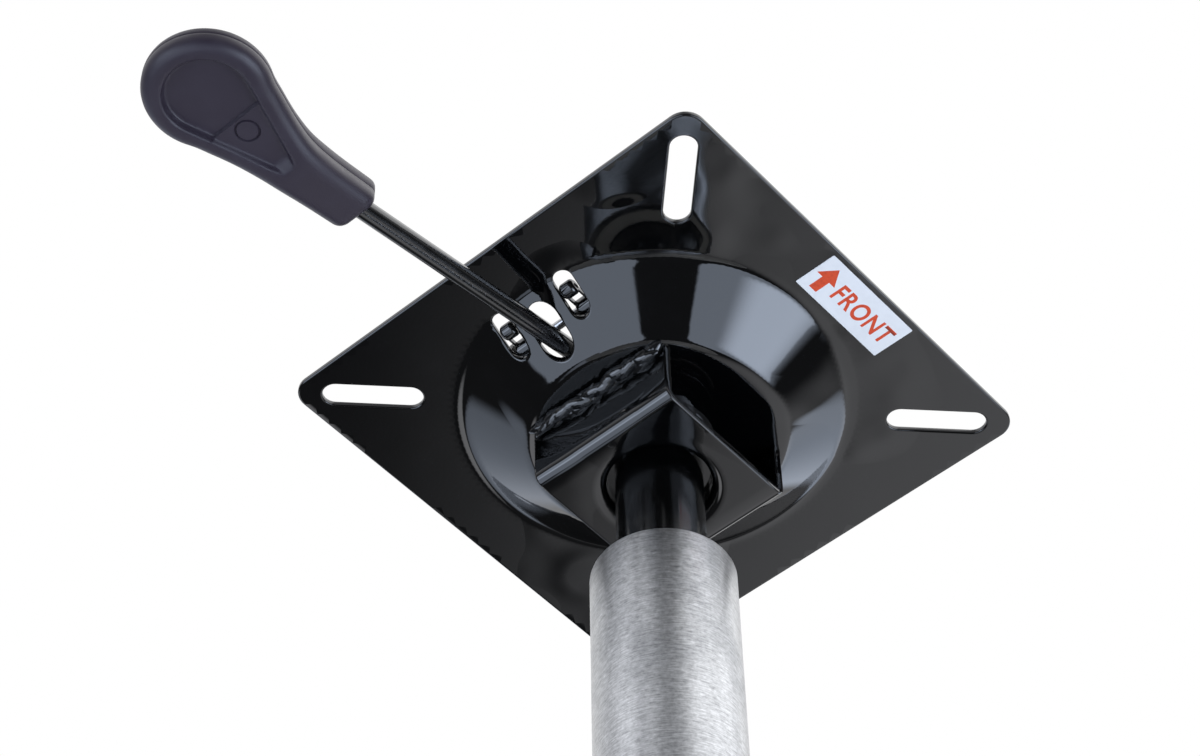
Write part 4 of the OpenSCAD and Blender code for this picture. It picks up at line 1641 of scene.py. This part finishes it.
@dataclass
class Handle:
    """The moulded handle, drawn as a plan with an upper and a lower face.

    The plan's x runs outwards from the neck's end and its y across.

    Attributes:
        bend: Distance of the rod's outer bend from the post's middle.
        z: Height of the head's middle plane.
        slope: Slope of the rod and of the neck on it, in degrees.
        start: Distance of the neck's end from the post's middle.
        length: Length of the handle.
        head_r: Radius of the head.
        head_t: Thickness of the head.
        neck_t: Thickness of the neck.
        pocket: Radius of the pocket's round end, of its narrow end, and their distance.
        wall: Width of the pocket's sloping wall.
        floor: Depth of the pocket.
        step: Height of the step in its floor.
        step_x: Distance of the step from the head's middle.
        step_run: Length of the step's slope.
        fade_x: Distance at which the pocket runs out.
        fade_run: Length over which it does.
        ring_x: Distance of the small ring.
        ring_r: Radius of the ring.
        groove: Depth of its groove.
        groove_edge: Distance from the ring's line at which the groove ends.
        groove_side: Width of the groove's sloping side.
        slim: Place at which the thickness starts to change, and the length it takes.
        brow: Rounding of the handle's sides.
        widths: Half widths of the neck, each with its place.
        turn: Angle at which the head's arc meets the neck, in degrees.
        end: Rounding of the neck's end.
    """

    bend: float
    z: float
    slope: float
    start: float = 136.0
    length: float = 81.0
    head_r: float = 19.1
    head_t: float = 10.0
    neck_t: float = 13.0
    pocket: tuple[float, float, float] = (13.3, 3.4, 31.0)
    wall: float = 1.3
    floor: float = 1.5
    step: float = 1.1
    step_x: float = 11.6
    step_run: float = 0.5
    fade_x: float = 34.0
    fade_run: float = 5.0
    ring_x: float = 16.0
    ring_r: float = 3.5
    groove: float = 0.6
    groove_edge: float = 0.4
    groove_side: float = 0.32
    slim: tuple[float, float] = (20.0, 26.0)
    brow: float = 4.0
    widths: tuple[tuple[float, float], ...] = (
        (0.0, 7.9), (7, 8.05), (15, 8.25), (22, 8.65), (30, 9.6), (38, 11.6), (46, 14.3))
    turn: float = 118.0
    end: float = 3.8

    @property
    def head(self) -> float:
        """Place of the head's middle along the handle."""
        return self.length - self.head_r

    def outline(self, inset: float) -> np.ndarray:
        """The plan's outline.

        Args:
            inset: Distance inside it.

        Returns:
            Its points, anticlockwise.
        """
        head = arc(self.head, 0, self.head_r, 0, self.turn, 40)
        xs, ys = np.array([*self.widths, head[-1]]).T
        turn, end = math.radians(self.turn), self.end
        fine = np.linspace(xs[-1], end, 34)[1:]
        slope = -math.cos(turn) / math.sin(turn)
        side = smooth_line(xs, ys, fine, slope)
        corner = arc(end, side[-1] - end, end, 90, 180, 8)[1:]
        upper = np.vstack([head, np.c_[fine, side], corner])
        loop = resample(np.vstack([upper, upper[::-1][:-1] * [1, -1]]), 260)
        step = np.roll(loop, -1, 0) - np.roll(loop, 1, 0)
        step /= np.linalg.norm(step, axis=1)[:, None]
        return loop + inset * np.c_[-step[:, 1], step[:, 0]]

    def depth_in(self, x: np.ndarray, y: np.ndarray) -> np.ndarray:
        """How far points lie inside the pocket's edge.

        Args:
            x: Places along the handle.
            y: Places across it.

        Returns:
            The distances, below zero outside.
        """
        big, small, run = self.pocket
        b = (big - small) / run
        a = math.sqrt(1 - b * b)
        u, v = self.head - x, np.abs(y)
        k = -b * v + a * u
        line = v * a + u * b - big
        out = np.where(k < 0, np.hypot(u, v) - big,
                       np.where(k > a * run, np.hypot(u - run, v) - small, line))
        return -out

    def pocket_loop(self, inset: float) -> np.ndarray:
        """Points on the pocket's edge.

        Args:
            inset: Distance inside it.

        Returns:
            The points.
        """
        big, small, run = self.pocket
        turn = 90 - math.degrees(math.asin((big - small) / run))
        right = arc(self.head, 0, big - inset, -180 + turn, 180 - turn, 90)
        left = arc(self.head - run, 0, small - inset, 180 - turn, 180 + turn, 12)
        t = np.linspace(0, 1, 50)[1:-1, None]
        sides = [right[-1] * (1 - t) + left[0] * t, left[-1] * (1 - t) + right[0] * t]
        return np.vstack([right, sides[0], left, sides[1]])

    def middle(self, x: np.ndarray) -> np.ndarray:
        """Height of the middle plane, which follows the rod's bend.

        Args:
            x: Places along the handle.

        Returns:
            The heights.
        """
        run = self.bend - self.start - x
        soft = 6.0
        return self.z + math.tan(math.radians(self.slope)) * (run + np.sqrt(run**2 + soft**2)) / 2

    def half(self, x: np.ndarray) -> np.ndarray:
        """Half the thickness along the handle.

        Args:
            x: Places along the handle.

        Returns:
            The half thicknesses.
        """
        start, run = self.slim
        w = ease((x - start) / run)
        return (self.neck_t * (1 - w) + self.head_t * w) / 2

    def crown(self, x: np.ndarray, y: np.ndarray) -> np.ndarray:
        """Height of either face above the middle plane.

        Args:
            x: Places along the handle.
            y: Places across it.

        Returns:
            The heights.
        """
        a = self.outline(0.0)
        ab = np.roll(a, -1, 0) - a
        q, r = np.c_[x, y], self.brow
        gap = np.empty(len(q))
        for k in range(0, len(q), 400):
            part = q[k:k + 400, None] - a
            t = np.clip((part * ab).sum(2) / (ab * ab).sum(1), 0, 1)
            gap[k:k + 400] = np.linalg.norm(part - t[..., None] * ab, axis=2).min(1)
        d = np.clip(gap, 0, r)
        return self.half(x) - r + np.sqrt(np.clip(r * r - (r - d) ** 2, 0, None))

    def top(self, x: np.ndarray, y: np.ndarray) -> np.ndarray:
        """Height of the upper face."""
        return self.middle(x) + self.crown(x, y)

    def bottom(self, x: np.ndarray, y: np.ndarray) -> np.ndarray:
        """Height of the lower face, with the pocket, the step and the ring.

        Args:
            x: Places along the handle.
            y: Places across it.

        Returns:
            The heights.
        """
        step = np.clip((x - (self.head - self.step_x)) / self.step_run, 0, 1)
        skin = self.middle(x) - self.crown(x, y)
        floor = self.z - self.head_t / 2 + self.floor + self.step * step
        fade = ease((x - (self.head - self.fade_x)) / self.fade_run)
        depth = np.clip(floor - skin, 0, None) * fade
        ring = np.hypot(x - (self.head - self.ring_x), y)
        edge, side = self.groove_edge, self.groove_side
        groove = np.clip(edge / side - np.abs(ring - self.ring_r) / side, 0, 1)
        return skin + ease(self.depth_in(x, y) / self.wall) * depth + self.groove * groove

    def fill(self) -> np.ndarray:
        """Points that both faces pass through, dense along the pocket's edges.

        Returns:
            The points.
        """
        lines = [self.pocket_loop(d) for d in (0.0, 0.35, 0.7, 1.0, self.wall)]
        cross = np.arange(-12, 12.2, 0.5)
        for x in (self.head - self.step_x, self.head - self.step_x + self.step_run):
            lines.append(np.c_[np.full(len(cross), x), cross])
        lines += [arc(self.head - self.ring_x, 0, self.ring_r + d, 0, 360, 48)[:-1]
                  for d in (-0.4, -0.08, 0.08, 0.4)]
        marks, pitch, near = np.vstack(lines), 0.8, 0.45
        grid = np.stack(np.meshgrid(
            np.arange(0, 82, pitch), np.arange(-19.2, 19.4, pitch)), -1).reshape(-1, 2)
        gap = np.full(len(grid), 1e9)
        for k in range(0, len(marks), 300):
            gap = np.minimum(gap, np.linalg.norm(grid[:, None] - marks[k:k + 300], axis=2).min(1))
        return np.vstack([marks, grid[gap > near]])

    def build(self) -> None:
        """Builds the handle."""
        insets = (0.0, 0.06, 0.25, 0.6, 1.1, 1.8, 2.7)
        rows = []
        for face, order in ((self.top, insets[::-1]), (self.bottom, insets)):
            for d in order:
                p = self.outline(d)
                flat = self.middle(p[:, 0])
                side = self.half(p[:, 0]) - self.brow
                z = face(*p.T) if d else flat + (side if face == self.top else -side)
                rows.append(np.c_[p, z])
            if face == self.top:
                for d, up in ((0.0, 0.22), (0.2, 0.0), (0.0, -0.22)):
                    p = self.outline(d)
                    rows.append(np.c_[p, self.middle(p[:, 0]) + up])
        verts, faces = sheet(
            [Edge(self.outline, rim=lambda: rows)], self.fill(), self.top, self.bottom, 0.3)
        placed = np.c_[-self.start - verts[:, 0], -verts[:, 1], verts[:, 2]]
        place_piece("handle_moulding", placed, faces, "handle_plastic", Body.LEVER,
                    ["lever_handle"], 60)


def ease(w: np.ndarray) -> np.ndarray:
    """Soft step from 0 to 1 where w goes from 0 to 1."""
    w = np.clip(w, 0, 1)
    return w * w * (3 - 2 * w)


def smooth_line(x: np.ndarray, y: np.ndarray, at: np.ndarray, end_slope: float) -> np.ndarray:
    """A smooth line through points, as a cubic Hermite curve.

    Args:
        x: The points' places, rising.
        y: Their heights.
        at: Places at which the line is wanted.
        end_slope: Its slope at the last point.

    Returns:
        The line's heights.
    """
    slopes = np.gradient(y, x)
    slopes[-1] = end_slope
    k = np.clip(np.searchsorted(x, at) - 1, 0, len(x) - 2)
    h = x[k + 1] - x[k]
    t = (at - x[k]) / h
    return ((2 * t**3 - 3 * t**2 + 1) * y[k] + (t**3 - 2 * t**2 + t) * h * slopes[k]
            + (-2 * t**3 + 3 * t**2) * y[k + 1] + (t**3 - t**2) * h * slopes[k + 1])


def resample(loop: np.ndarray, count: int) -> np.ndarray:
    """Spaces a closed loop's points evenly.

    Args:
        loop: The loop.
        count: Points in the new one.

    Returns:
        The new loop.
    """
    closed = np.vstack([loop, loop[:1]])
    run = np.r_[0, np.cumsum(np.linalg.norm(np.diff(closed, axis=0), axis=1))]
    at = np.linspace(0, run[-1], count, endpoint=False)
    return np.c_[np.interp(at, run, closed[:, 0]), np.interp(at, run, closed[:, 1])]


@dataclass
class Label:
    """The film under the front edge and its print.

    Attributes:
        corner: Corner radius of the film.
        ink: Thickness of the printed layer.
        bite: Depth by which the ink sits in the film.
        arrow: Outline of the arrow, about its middle.
        arrow_x: Place of the arrow along the label.
        word_at: Place of the word's lower left corner.
        word_run: Length of the word.
        word_size: Height of its type.
        spacing: Factor on the space between its letters.
        weight: Growth of its letters' outlines.
        left: Distance of the print's origin from the film's middle.
    """

    corner: float = 0.35
    ink: float = 0.03
    bite: float = 0.002
    arrow: tuple[tuple[float, float], ...] = (
        (0, 5.4), (-4.3, -0.2), (-1.7, -0.2), (-1.7, -5.6), (1.7, -5.6), (1.7, -0.2), (4.3, -0.2))
    arrow_x: float = -5.2
    word_at: tuple[float, float] = (0.6, -3.3)
    word_run: float = 26.5
    word_size: float = 9.2
    spacing: float = 1.1
    weight: float = 0.2
    left: float = 9.2

    def build(self) -> None:
        """Builds the film, the arrow and the word."""
        lo, hi = span("front_label")
        mid, size = (lo + hi) / 2, hi - lo
        c = self.corner

        def outline(inset: float) -> np.ndarray:
            """The film's outline at a distance inside it.

            Args:
                inset: The distance.

            Returns:
                Its points, anticlockwise.
            """
            a, b = size[0] / 2 - inset, size[1] / 2 - inset
            return np.vstack([
                arc(a - c, b - c, c, 0, 90, 5), arc(c - a, b - c, c, 90, 180, 5),
                arc(c - a, c - b, c, 180, 270, 5), arc(a - c, c - b, c, 270, 360, 5)])

        grid = np.stack(np.meshgrid(np.linspace(-19, 19, 20), np.linspace(-7, 7, 8)), -1)
        verts, faces = sheet([Edge(outline, radius=0.05)], grid.reshape(-1, 2),
                             level(hi[2]), level(lo[2]), 0.2)
        verts = verts + [mid[0], mid[1], 0]
        place_piece("label_sheet", verts, faces, "label_film", Body.HEAD, ["front_label"])
        self.print_marks(mid, lo[2])

    def word(self) -> MeshData:
        """The word as a flat mesh, with its lower left corner at the origin.

        Returns:
            The points in the plan, and the faces.
        """
        curve = bpy.data.curves.new("word", "FONT")
        curve.body = "FRONT"
        curve.size = self.word_size
        curve.space_character = self.spacing
        curve.offset = self.weight
        holder = bpy.data.objects.new("word", curve)
        bpy.context.scene.collection.objects.link(holder)
        graph = bpy.context.evaluated_depsgraph_get()
        flat = bpy.data.meshes.new_from_object(holder.evaluated_get(graph))
        word = np.array([v.co[:2] for v in flat.vertices])
        polys = [list(p.vertices) for p in flat.polygons]
        bpy.data.objects.remove(holder)
        start, run = word[:, 0].min(), word[:, 0].max() - word[:, 0].min()
        return (word - [start, 0]) * [self.word_run / run, 1.0], polys

    def print_marks(self, mid: np.ndarray, low: float) -> None:
        """Builds the arrow and the word as thin ink on the film's underside.

        Args:
            mid: The film's middle.
            low: Height of its underside.
        """
        arrow, sides = thicken(np.array(self.arrow), [range(len(self.arrow))], self.ink)
        word, polys = self.word()
        base, faces = joined([(arrow + [self.arrow_x, 0, 0], sides),
                              thicken(word + self.word_at, polys, self.ink)])
        placed = np.c_[base[:, 0] + mid[0] - self.left, mid[1] - base[:, 1],
                       low + self.bite - base[:, 2]]
        place_piece("label_print", placed, faces, "label_ink", Body.HEAD)


def thicken(
    points: np.ndarray, polys: Sequence[Sequence[int]], thick: float
) -> MeshData:
    """Makes a flat mesh into closed plates of one thickness.

    Args:
        points: The flat mesh's points.
        polys: Its faces, turning either way.
        thick: The thickness.

    Returns:
        The points and faces.
    """
    n = len(points)
    verts = np.vstack([np.c_[points, np.zeros(n)], np.c_[points, np.full(n, thick)]])
    faces, links = [], {}  # A dict, because it keeps the links in order
    for poly in polys:
        x, y = points[list(poly)].T
        turn = (x * np.roll(y, -1) - y * np.roll(x, -1)).sum()
        loop = list(poly) if turn > 0 else list(poly)[::-1]
        faces += [loop[::-1], [i + n for i in loop]]
        links.update(dict.fromkeys(zip(loop, loop[1:] + loop[:1])))
    faces += [[a, b, b + n, a + n] for a, b in links if (b, a) not in links]
    return verts, faces


CAD_FINISH: dict[str, str] = {
    "foot_weld": "weld_metal", "guide_bush": "white_acetal",
    "column_foot": "turned_steel", "lower_race": "turned_steel", "upper_race": "turned_steel",
    "ball_cage": "valve_brass", "bearing_balls": "bright_rod", "piston_rod": "bright_rod",
    "rod_clip": "turned_steel", "bump_stop": "seal_rubber", "piston": "valve_brass",
    "piston_ring": "seal_rubber", "piston_nut": "turned_steel", "pressure_tube": "turned_steel",
    "rod_guide": "turned_steel", "rod_seal": "seal_rubber", "valve_body": "valve_brass",
    "valve_seal": "seal_rubber", "taper_socket": "gloss_black", "socket_weld": "weld_black",
    "pivot_pin": "turned_steel", "rocker_plate": "lever_black", "lever_weld": "weld_black",
    "release_pin": "bright_rod",
}


def dress_frame() -> None:
    """Gives the CAD meshes that stay visible their finish."""
    for name, finish in CAD_FINISH.items():
        mesh = frame["nodes"][name].data
        mesh.materials.clear()
        mesh.materials.append(material(finish))
        LOG.info("%s keeps the frame's mesh", name)


@dataclass(frozen=True)
class Strand:
    """One strand of ripples in a weld run.

    Attributes:
        name: Its mark in the objects' names.
        out: Distance out from the bracket's side, in millimetres.
        drop: Depth below the bracket's upper edge.
        radius: Radius of a ripple, in metres.
        seed: Seed of the ripples' sizes.
    """

    name: str
    out: float
    drop: float
    radius: float
    seed: int


@dataclass
class Welds:
    """The two weld runs along the bracket's sides.

    Attributes:
        starts: Distance of the left and the right run from the bracket's front end.
        end: Distance of both from its rear end.
        points: Points along a run.
        sway: Spread of a run's wander.
        lift: Share of the wander that goes upwards.
        pitch: Distance between ripples, in metres.
        stretch: Length of a ripple over its radius.
        voxel: Size of the skin's cells, in metres.
        strands: The strands of each run.
    """

    starts: tuple[float, float] = (7.0, 14.0)
    end: float = 7.0
    points: int = 40
    sway: float = 1.3
    lift: float = 0.6
    pitch: float = 0.0035
    stretch: float = 3.0
    voxel: float = 0.00035
    strands: tuple[Strand, ...] = (
        Strand("a", 0.9, 0.8, 0.0027, 3), Strand("b", 2.3, 2.2, 0.0020, 11))

    def build(self) -> None:
        """Lays the strands along both sides of the bracket."""
        beads = BeadTree()
        lo, hi = span("channel_bracket")
        rng = np.random.default_rng(7)
        n, blur = self.points, np.ones(5) / 5
        for sign, side, start in zip((-1, 1), ("left", "right"), self.starts):
            y = np.linspace(lo[1] + start, hi[1] - self.end, n)
            for strand in self.strands:
                wander = np.convolve(rng.normal(0, self.sway, n + 4), blur, "valid")
                x = sign * (hi[0] + strand.out + wander)
                z = np.full(n, hi[2] - strand.drop) + self.lift * wander
                name = f"bracket_bead_{side}_{strand.name}"
                replaces = ["bracket_welds"] if name == "bracket_bead_left_a" else []
                beads.lay(name, np.c_[x, y, z], "weld_black", Body.HEAD, replaces,
                          Pitch=self.pitch, Radius=strand.radius, Stretch=self.stretch,
                          Voxel=self.voxel, Seed=strand.seed)


# ---- Studio ----


@dataclass(frozen=True)
class Lamp:
    """A soft rectangular lamp.

    Attributes:
        name: Name of the lamp.
        toward: Direction from the object to the lamp.
        distance: Distance in metres.
        size: Width and height in metres.
        power: Power in watts.
    """

    name: str
    toward: tuple[float, float, float]
    distance: float
    size: tuple[float, float]
    power: float

    def build(self, target: Vector) -> None:
        """Adds the lamp, aimed at the target.

        Args:
            target: The target, in metres.
        """
        data = bpy.data.lights.new(self.name, "AREA")
        data.shape = "RECTANGLE"
        data.size, data.size_y = self.size
        data.energy = self.power
        lamp = bpy.data.objects.new(self.name, data)
        way = Vector(self.toward).normalized()
        lamp.location = target + way * self.distance
        lamp.rotation_euler = way.to_track_quat("Z", "Y").to_euler()
        bpy.context.scene.collection.objects.link(lamp)


@dataclass(frozen=True)
class Panel:
    """A round light panel far away, drawn by the world.

    Attributes:
        toward: Direction of the panel's middle.
        outer: Angle from the middle at which the light has gone, in degrees.
        inner: Angle within which it has its full strength.
        strength: Its strength, below zero for a dark card.
        cool: True for a bluish light.
    """

    toward: tuple[float, float, float]
    outer: float
    inner: float
    strength: float
    cool: bool = True


LAMPS = (
    Lamp("top_softbox", (0.2, -0.6, 0.77), 1.8, (2.0, 2.0), 13.5),
    Lamp("side_softbox", (0.85, -0.2, 0.5), 2.0, (0.6, 1.4), 1.8),
)

PANELS = (
    Panel((-0.59, 0.21, -0.78), 29.0, 27.5, 1.67),
    Panel((-0.86, 0.38, -0.33), 17.0, 14.0, 2.48),
    Panel((0.2, -0.69, -0.69), 26.5, 25.0, 1.86),
    Panel((0.36, -0.69, -0.62), 21.0, 7.0, 3.6),
    Panel((0.985, 0.02, 0.0), 19.0, 14.0, 1.55),
    Panel((0.22, 0.97, -0.02), 26.0, 18.0, 0.87),
    Panel((0.8, 0.05, -0.6), 35.0, 20.0, 0.81, False),
    Panel((0.3, 0.72, -0.62), 13.0, 7.0, 1.36, False),
    Panel((0.05, 0.35, -0.93), 10.0, 6.0, 0.99),
    Panel((0.487, 0.411, 0.77), 62.0, 30.0, 0.15, False),
    Panel((-0.615, 0.165, 0.77), 30.0, 10.0, 0.6, False),
    Panel((-0.487, -0.411, 0.77), 34.0, 8.0, -0.34, False),
)


@dataclass(frozen=True)
class Studio:
    """Floor, world, lamps and the photo's camera.

    Attributes:
        eye: The camera's place, in millimetres, from the middle of the plate's underside.
        right: The image's right in the part's frame.
        up: The image's up.
        ahead: The viewing direction.
        lens: Focal length for the sensor's width.
        sensor: Width of the sensor.
        sky_z: Heights of the direction between which the soft sky brightens.
        sky: Strength of the soft light below and above them.
        soft_color: Colour of the soft light and of the panels that aren't cool.
        cool_color: Colour of the cool panels.
        backdrop: Angles from the viewing direction at which mirrored rays see none and all of
            the white background, in degrees.
        floor_r: Radius of the floor, in metres.
        floor_z: Height of the floor, in metres, just below the part.
        floor_fade: Distances between which the floor fades into the background.
    """

    eye: tuple[float, float, float] = (-499.18524, -397.35654, -754.39559)
    right: tuple[float, float, float] = (0.65670397, -0.75403268, -0.01321394)
    up: tuple[float, float, float] = (-0.57551686, -0.51239986, 0.63735919)
    ahead: tuple[float, float, float] = (0.48736048, 0.41095146, 0.77045354)
    lens: float = 91.3754
    sensor: float = 36.0
    sky_z: tuple[float, float] = (-0.1, 0.5)
    sky: tuple[float, float] = (0.06, 0.78)
    soft_color: tuple[float, float, float, float] = (0.97, 0.98, 1.02, 1.0)
    cool_color: tuple[float, float, float, float] = (0.83, 0.95, 1.16, 1.0)
    backdrop: tuple[float, float] = (48.0, 20.0)
    floor_r: float = 3.0
    floor_z: float = -0.0004
    floor_fade: tuple[float, float] = (0.35, 1.1)

    def build(self, under: float) -> None:
        """Builds the studio.

        Args:
            under: Height of the plate's underside, in millimetres.
        """
        self.camera(under)
        self.world()
        self.floor()
        target = Vector((0.0, 0.0, under * MM))
        for lamp in LAMPS:
            lamp.build(target)
        bpy.context.scene.view_settings.view_transform = "Standard"

    def camera(self, under: float) -> None:
        """Adds the camera at the photo's viewpoint.

        Args:
            under: Height of the plate's underside, in millimetres.
        """
        data = bpy.data.cameras.new("photo_camera")
        data.sensor_width = self.sensor
        data.lens = self.lens
        data.clip_start, data.clip_end = 0.02, 30.0
        cam = bpy.data.objects.new("photo_camera", data)
        turn = Matrix((self.right, self.up, [-v for v in self.ahead])).transposed()
        place = Vector(self.eye) * MM + Vector((0, 0, under * MM))
        cam.matrix_world = Matrix.Translation(place) @ turn.to_4x4()
        bpy.context.scene.collection.objects.link(cam)
        bpy.context.scene.camera = cam

    def world(self) -> None:
        """White behind the object, also as metal mirrors it; else a soft sky with panels."""
        world = bpy.data.worlds.new("studio")
        world.use_nodes = True
        world.node_tree.nodes.clear()
        g = Graph(world.node_tree)
        way = g.add("ShaderNodeTexCoord").outputs["Generated"]
        parts = g.add("ShaderNodeSeparateXYZ", Vector=way)
        soft, cards = g.ramp(parts.outputs["Z"], self.sky_z, self.sky), 0.0
        for panel in PANELS:
            strength = self.panel(g, way, panel)
            if panel.cool:
                cards = g.math("ADD", strength, cards)
            else:
                soft = g.math("ADD", soft, strength)
        joined = g.add("ShaderNodeAddShader")
        for index, (strength, color) in enumerate(
            ((soft, self.soft_color), (cards, self.cool_color))
        ):
            light = g.add("ShaderNodeBackground", Color=color, Strength=strength)
            g.link(light.outputs["Background"], joined.inputs[index])
        path = g.add("ShaderNodeLightPath").outputs
        behind = self.panel(g, way, Panel(self.ahead, *self.backdrop, 1.0))
        mirrored = g.math("ADD", path["Is Glossy Ray"], path["Is Transmission Ray"])
        shown = g.math("ADD", path["Is Camera Ray"], g.math("MULTIPLY", mirrored, behind))
        white = g.add("ShaderNodeBackground", Color=(1.0, 1.0, 1.0, 1.0), Strength=1.0)
        out = g.add("ShaderNodeOutputWorld")
        self.mix(g, shown, joined.outputs["Shader"], white.outputs["Background"], out)
        bpy.context.scene.world = world

    @staticmethod
    def mix(
        g: Graph,
        share: bpy.types.NodeSocket,
        first: bpy.types.NodeSocket,
        second: bpy.types.NodeSocket,
        out: bpy.types.Node,
    ) -> None:
        """Mixes two shaders into an output's surface.

        Args:
            g: The tree.
            share: Share of the second shader.
            first: The first shader.
            second: The second shader.
            out: The output node.
        """
        mix = g.add("ShaderNodeMixShader", Fac=share)
        g.link(first, mix.inputs[1])
        g.link(second, mix.inputs[2])
        g.link(mix.outputs["Shader"], out.inputs["Surface"])

    @staticmethod
    def panel(g: Graph, way: bpy.types.NodeSocket, panel: Panel) -> bpy.types.NodeSocket:
        """Adds one panel's strength as a function of the direction.

        Args:
            g: The world's tree.
            way: The direction.
            panel: The panel.

        Returns:
            Its strength.
        """
        dot = g.add("ShaderNodeVectorMath", operation="DOT_PRODUCT")
        g.link(way, dot.inputs[0])
        dot.inputs[1].default_value = Vector(panel.toward).normalized()
        edge = tuple(math.cos(math.radians(a)) for a in (panel.outer, panel.inner))
        return g.ramp(dot.outputs["Value"], edge, (0.0, panel.strength))

    def floor(self) -> None:
        """A pale floor that shows only from above and fades into the white background."""
        mesh = bpy.data.meshes.new("studio_floor")
        n = 96
        ring = arc(0, 0, self.floor_r, 0, 360, n)[:-1]
        mesh.from_pydata([(x, y, self.floor_z) for x, y in ring], [], [list(range(n))])
        floor = bpy.data.objects.new("studio_floor", mesh)
        bpy.context.scene.collection.objects.link(floor)
        mesh.materials.append(self.paper())

    def paper(self) -> bpy.types.Material:
        """The floor's matt surface, clear for all rays but the camera's.

        Returns:
            The material.
        """
        paper = bpy.data.materials.new("studio_paper")
        paper.use_nodes = True
        paper.node_tree.nodes.clear()
        g = Graph(paper.node_tree)
        matt = g.add("ShaderNodeBsdfDiffuse", Color=(0.86, 0.86, 0.86, 1.0))
        clear = g.add("ShaderNodeBsdfTransparent")
        path = g.add("ShaderNodeLightPath")
        side = g.add("ShaderNodeNewGeometry")
        coords = g.add("ShaderNodeTexCoord")
        reach = g.add("ShaderNodeVectorMath", operation="LENGTH")
        g.link(coords.outputs["Object"], reach.inputs[0])
        near = g.ramp(reach.outputs["Value"], self.floor_fade, (1.0, 0.0))
        front = g.math("SUBTRACT", 1.0, side.outputs["Backfacing"])
        seen = g.math("MULTIPLY", front, path.outputs["Is Camera Ray"])
        out = g.add("ShaderNodeOutputMaterial")
        self.mix(g, g.math("MULTIPLY", seen, near), clear.outputs["BSDF"], matt.outputs["BSDF"],
                 out)
        return paper


def main() -> None:
    """Builds the looks around the frame."""
    logging.basicConfig(level=logging.INFO, format="%(name)s: %(message)s")
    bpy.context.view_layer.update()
    Groups.make()
    plate = SeatPlate()
    plate.build()
    Bracket().build()
    Column().build()
    FloorBase().build()
    Lever().build()
    Label().build()
    Welds().build()
    dress_frame()
    Studio().build(plate.under)


if __name__ == "__main__":
    main()
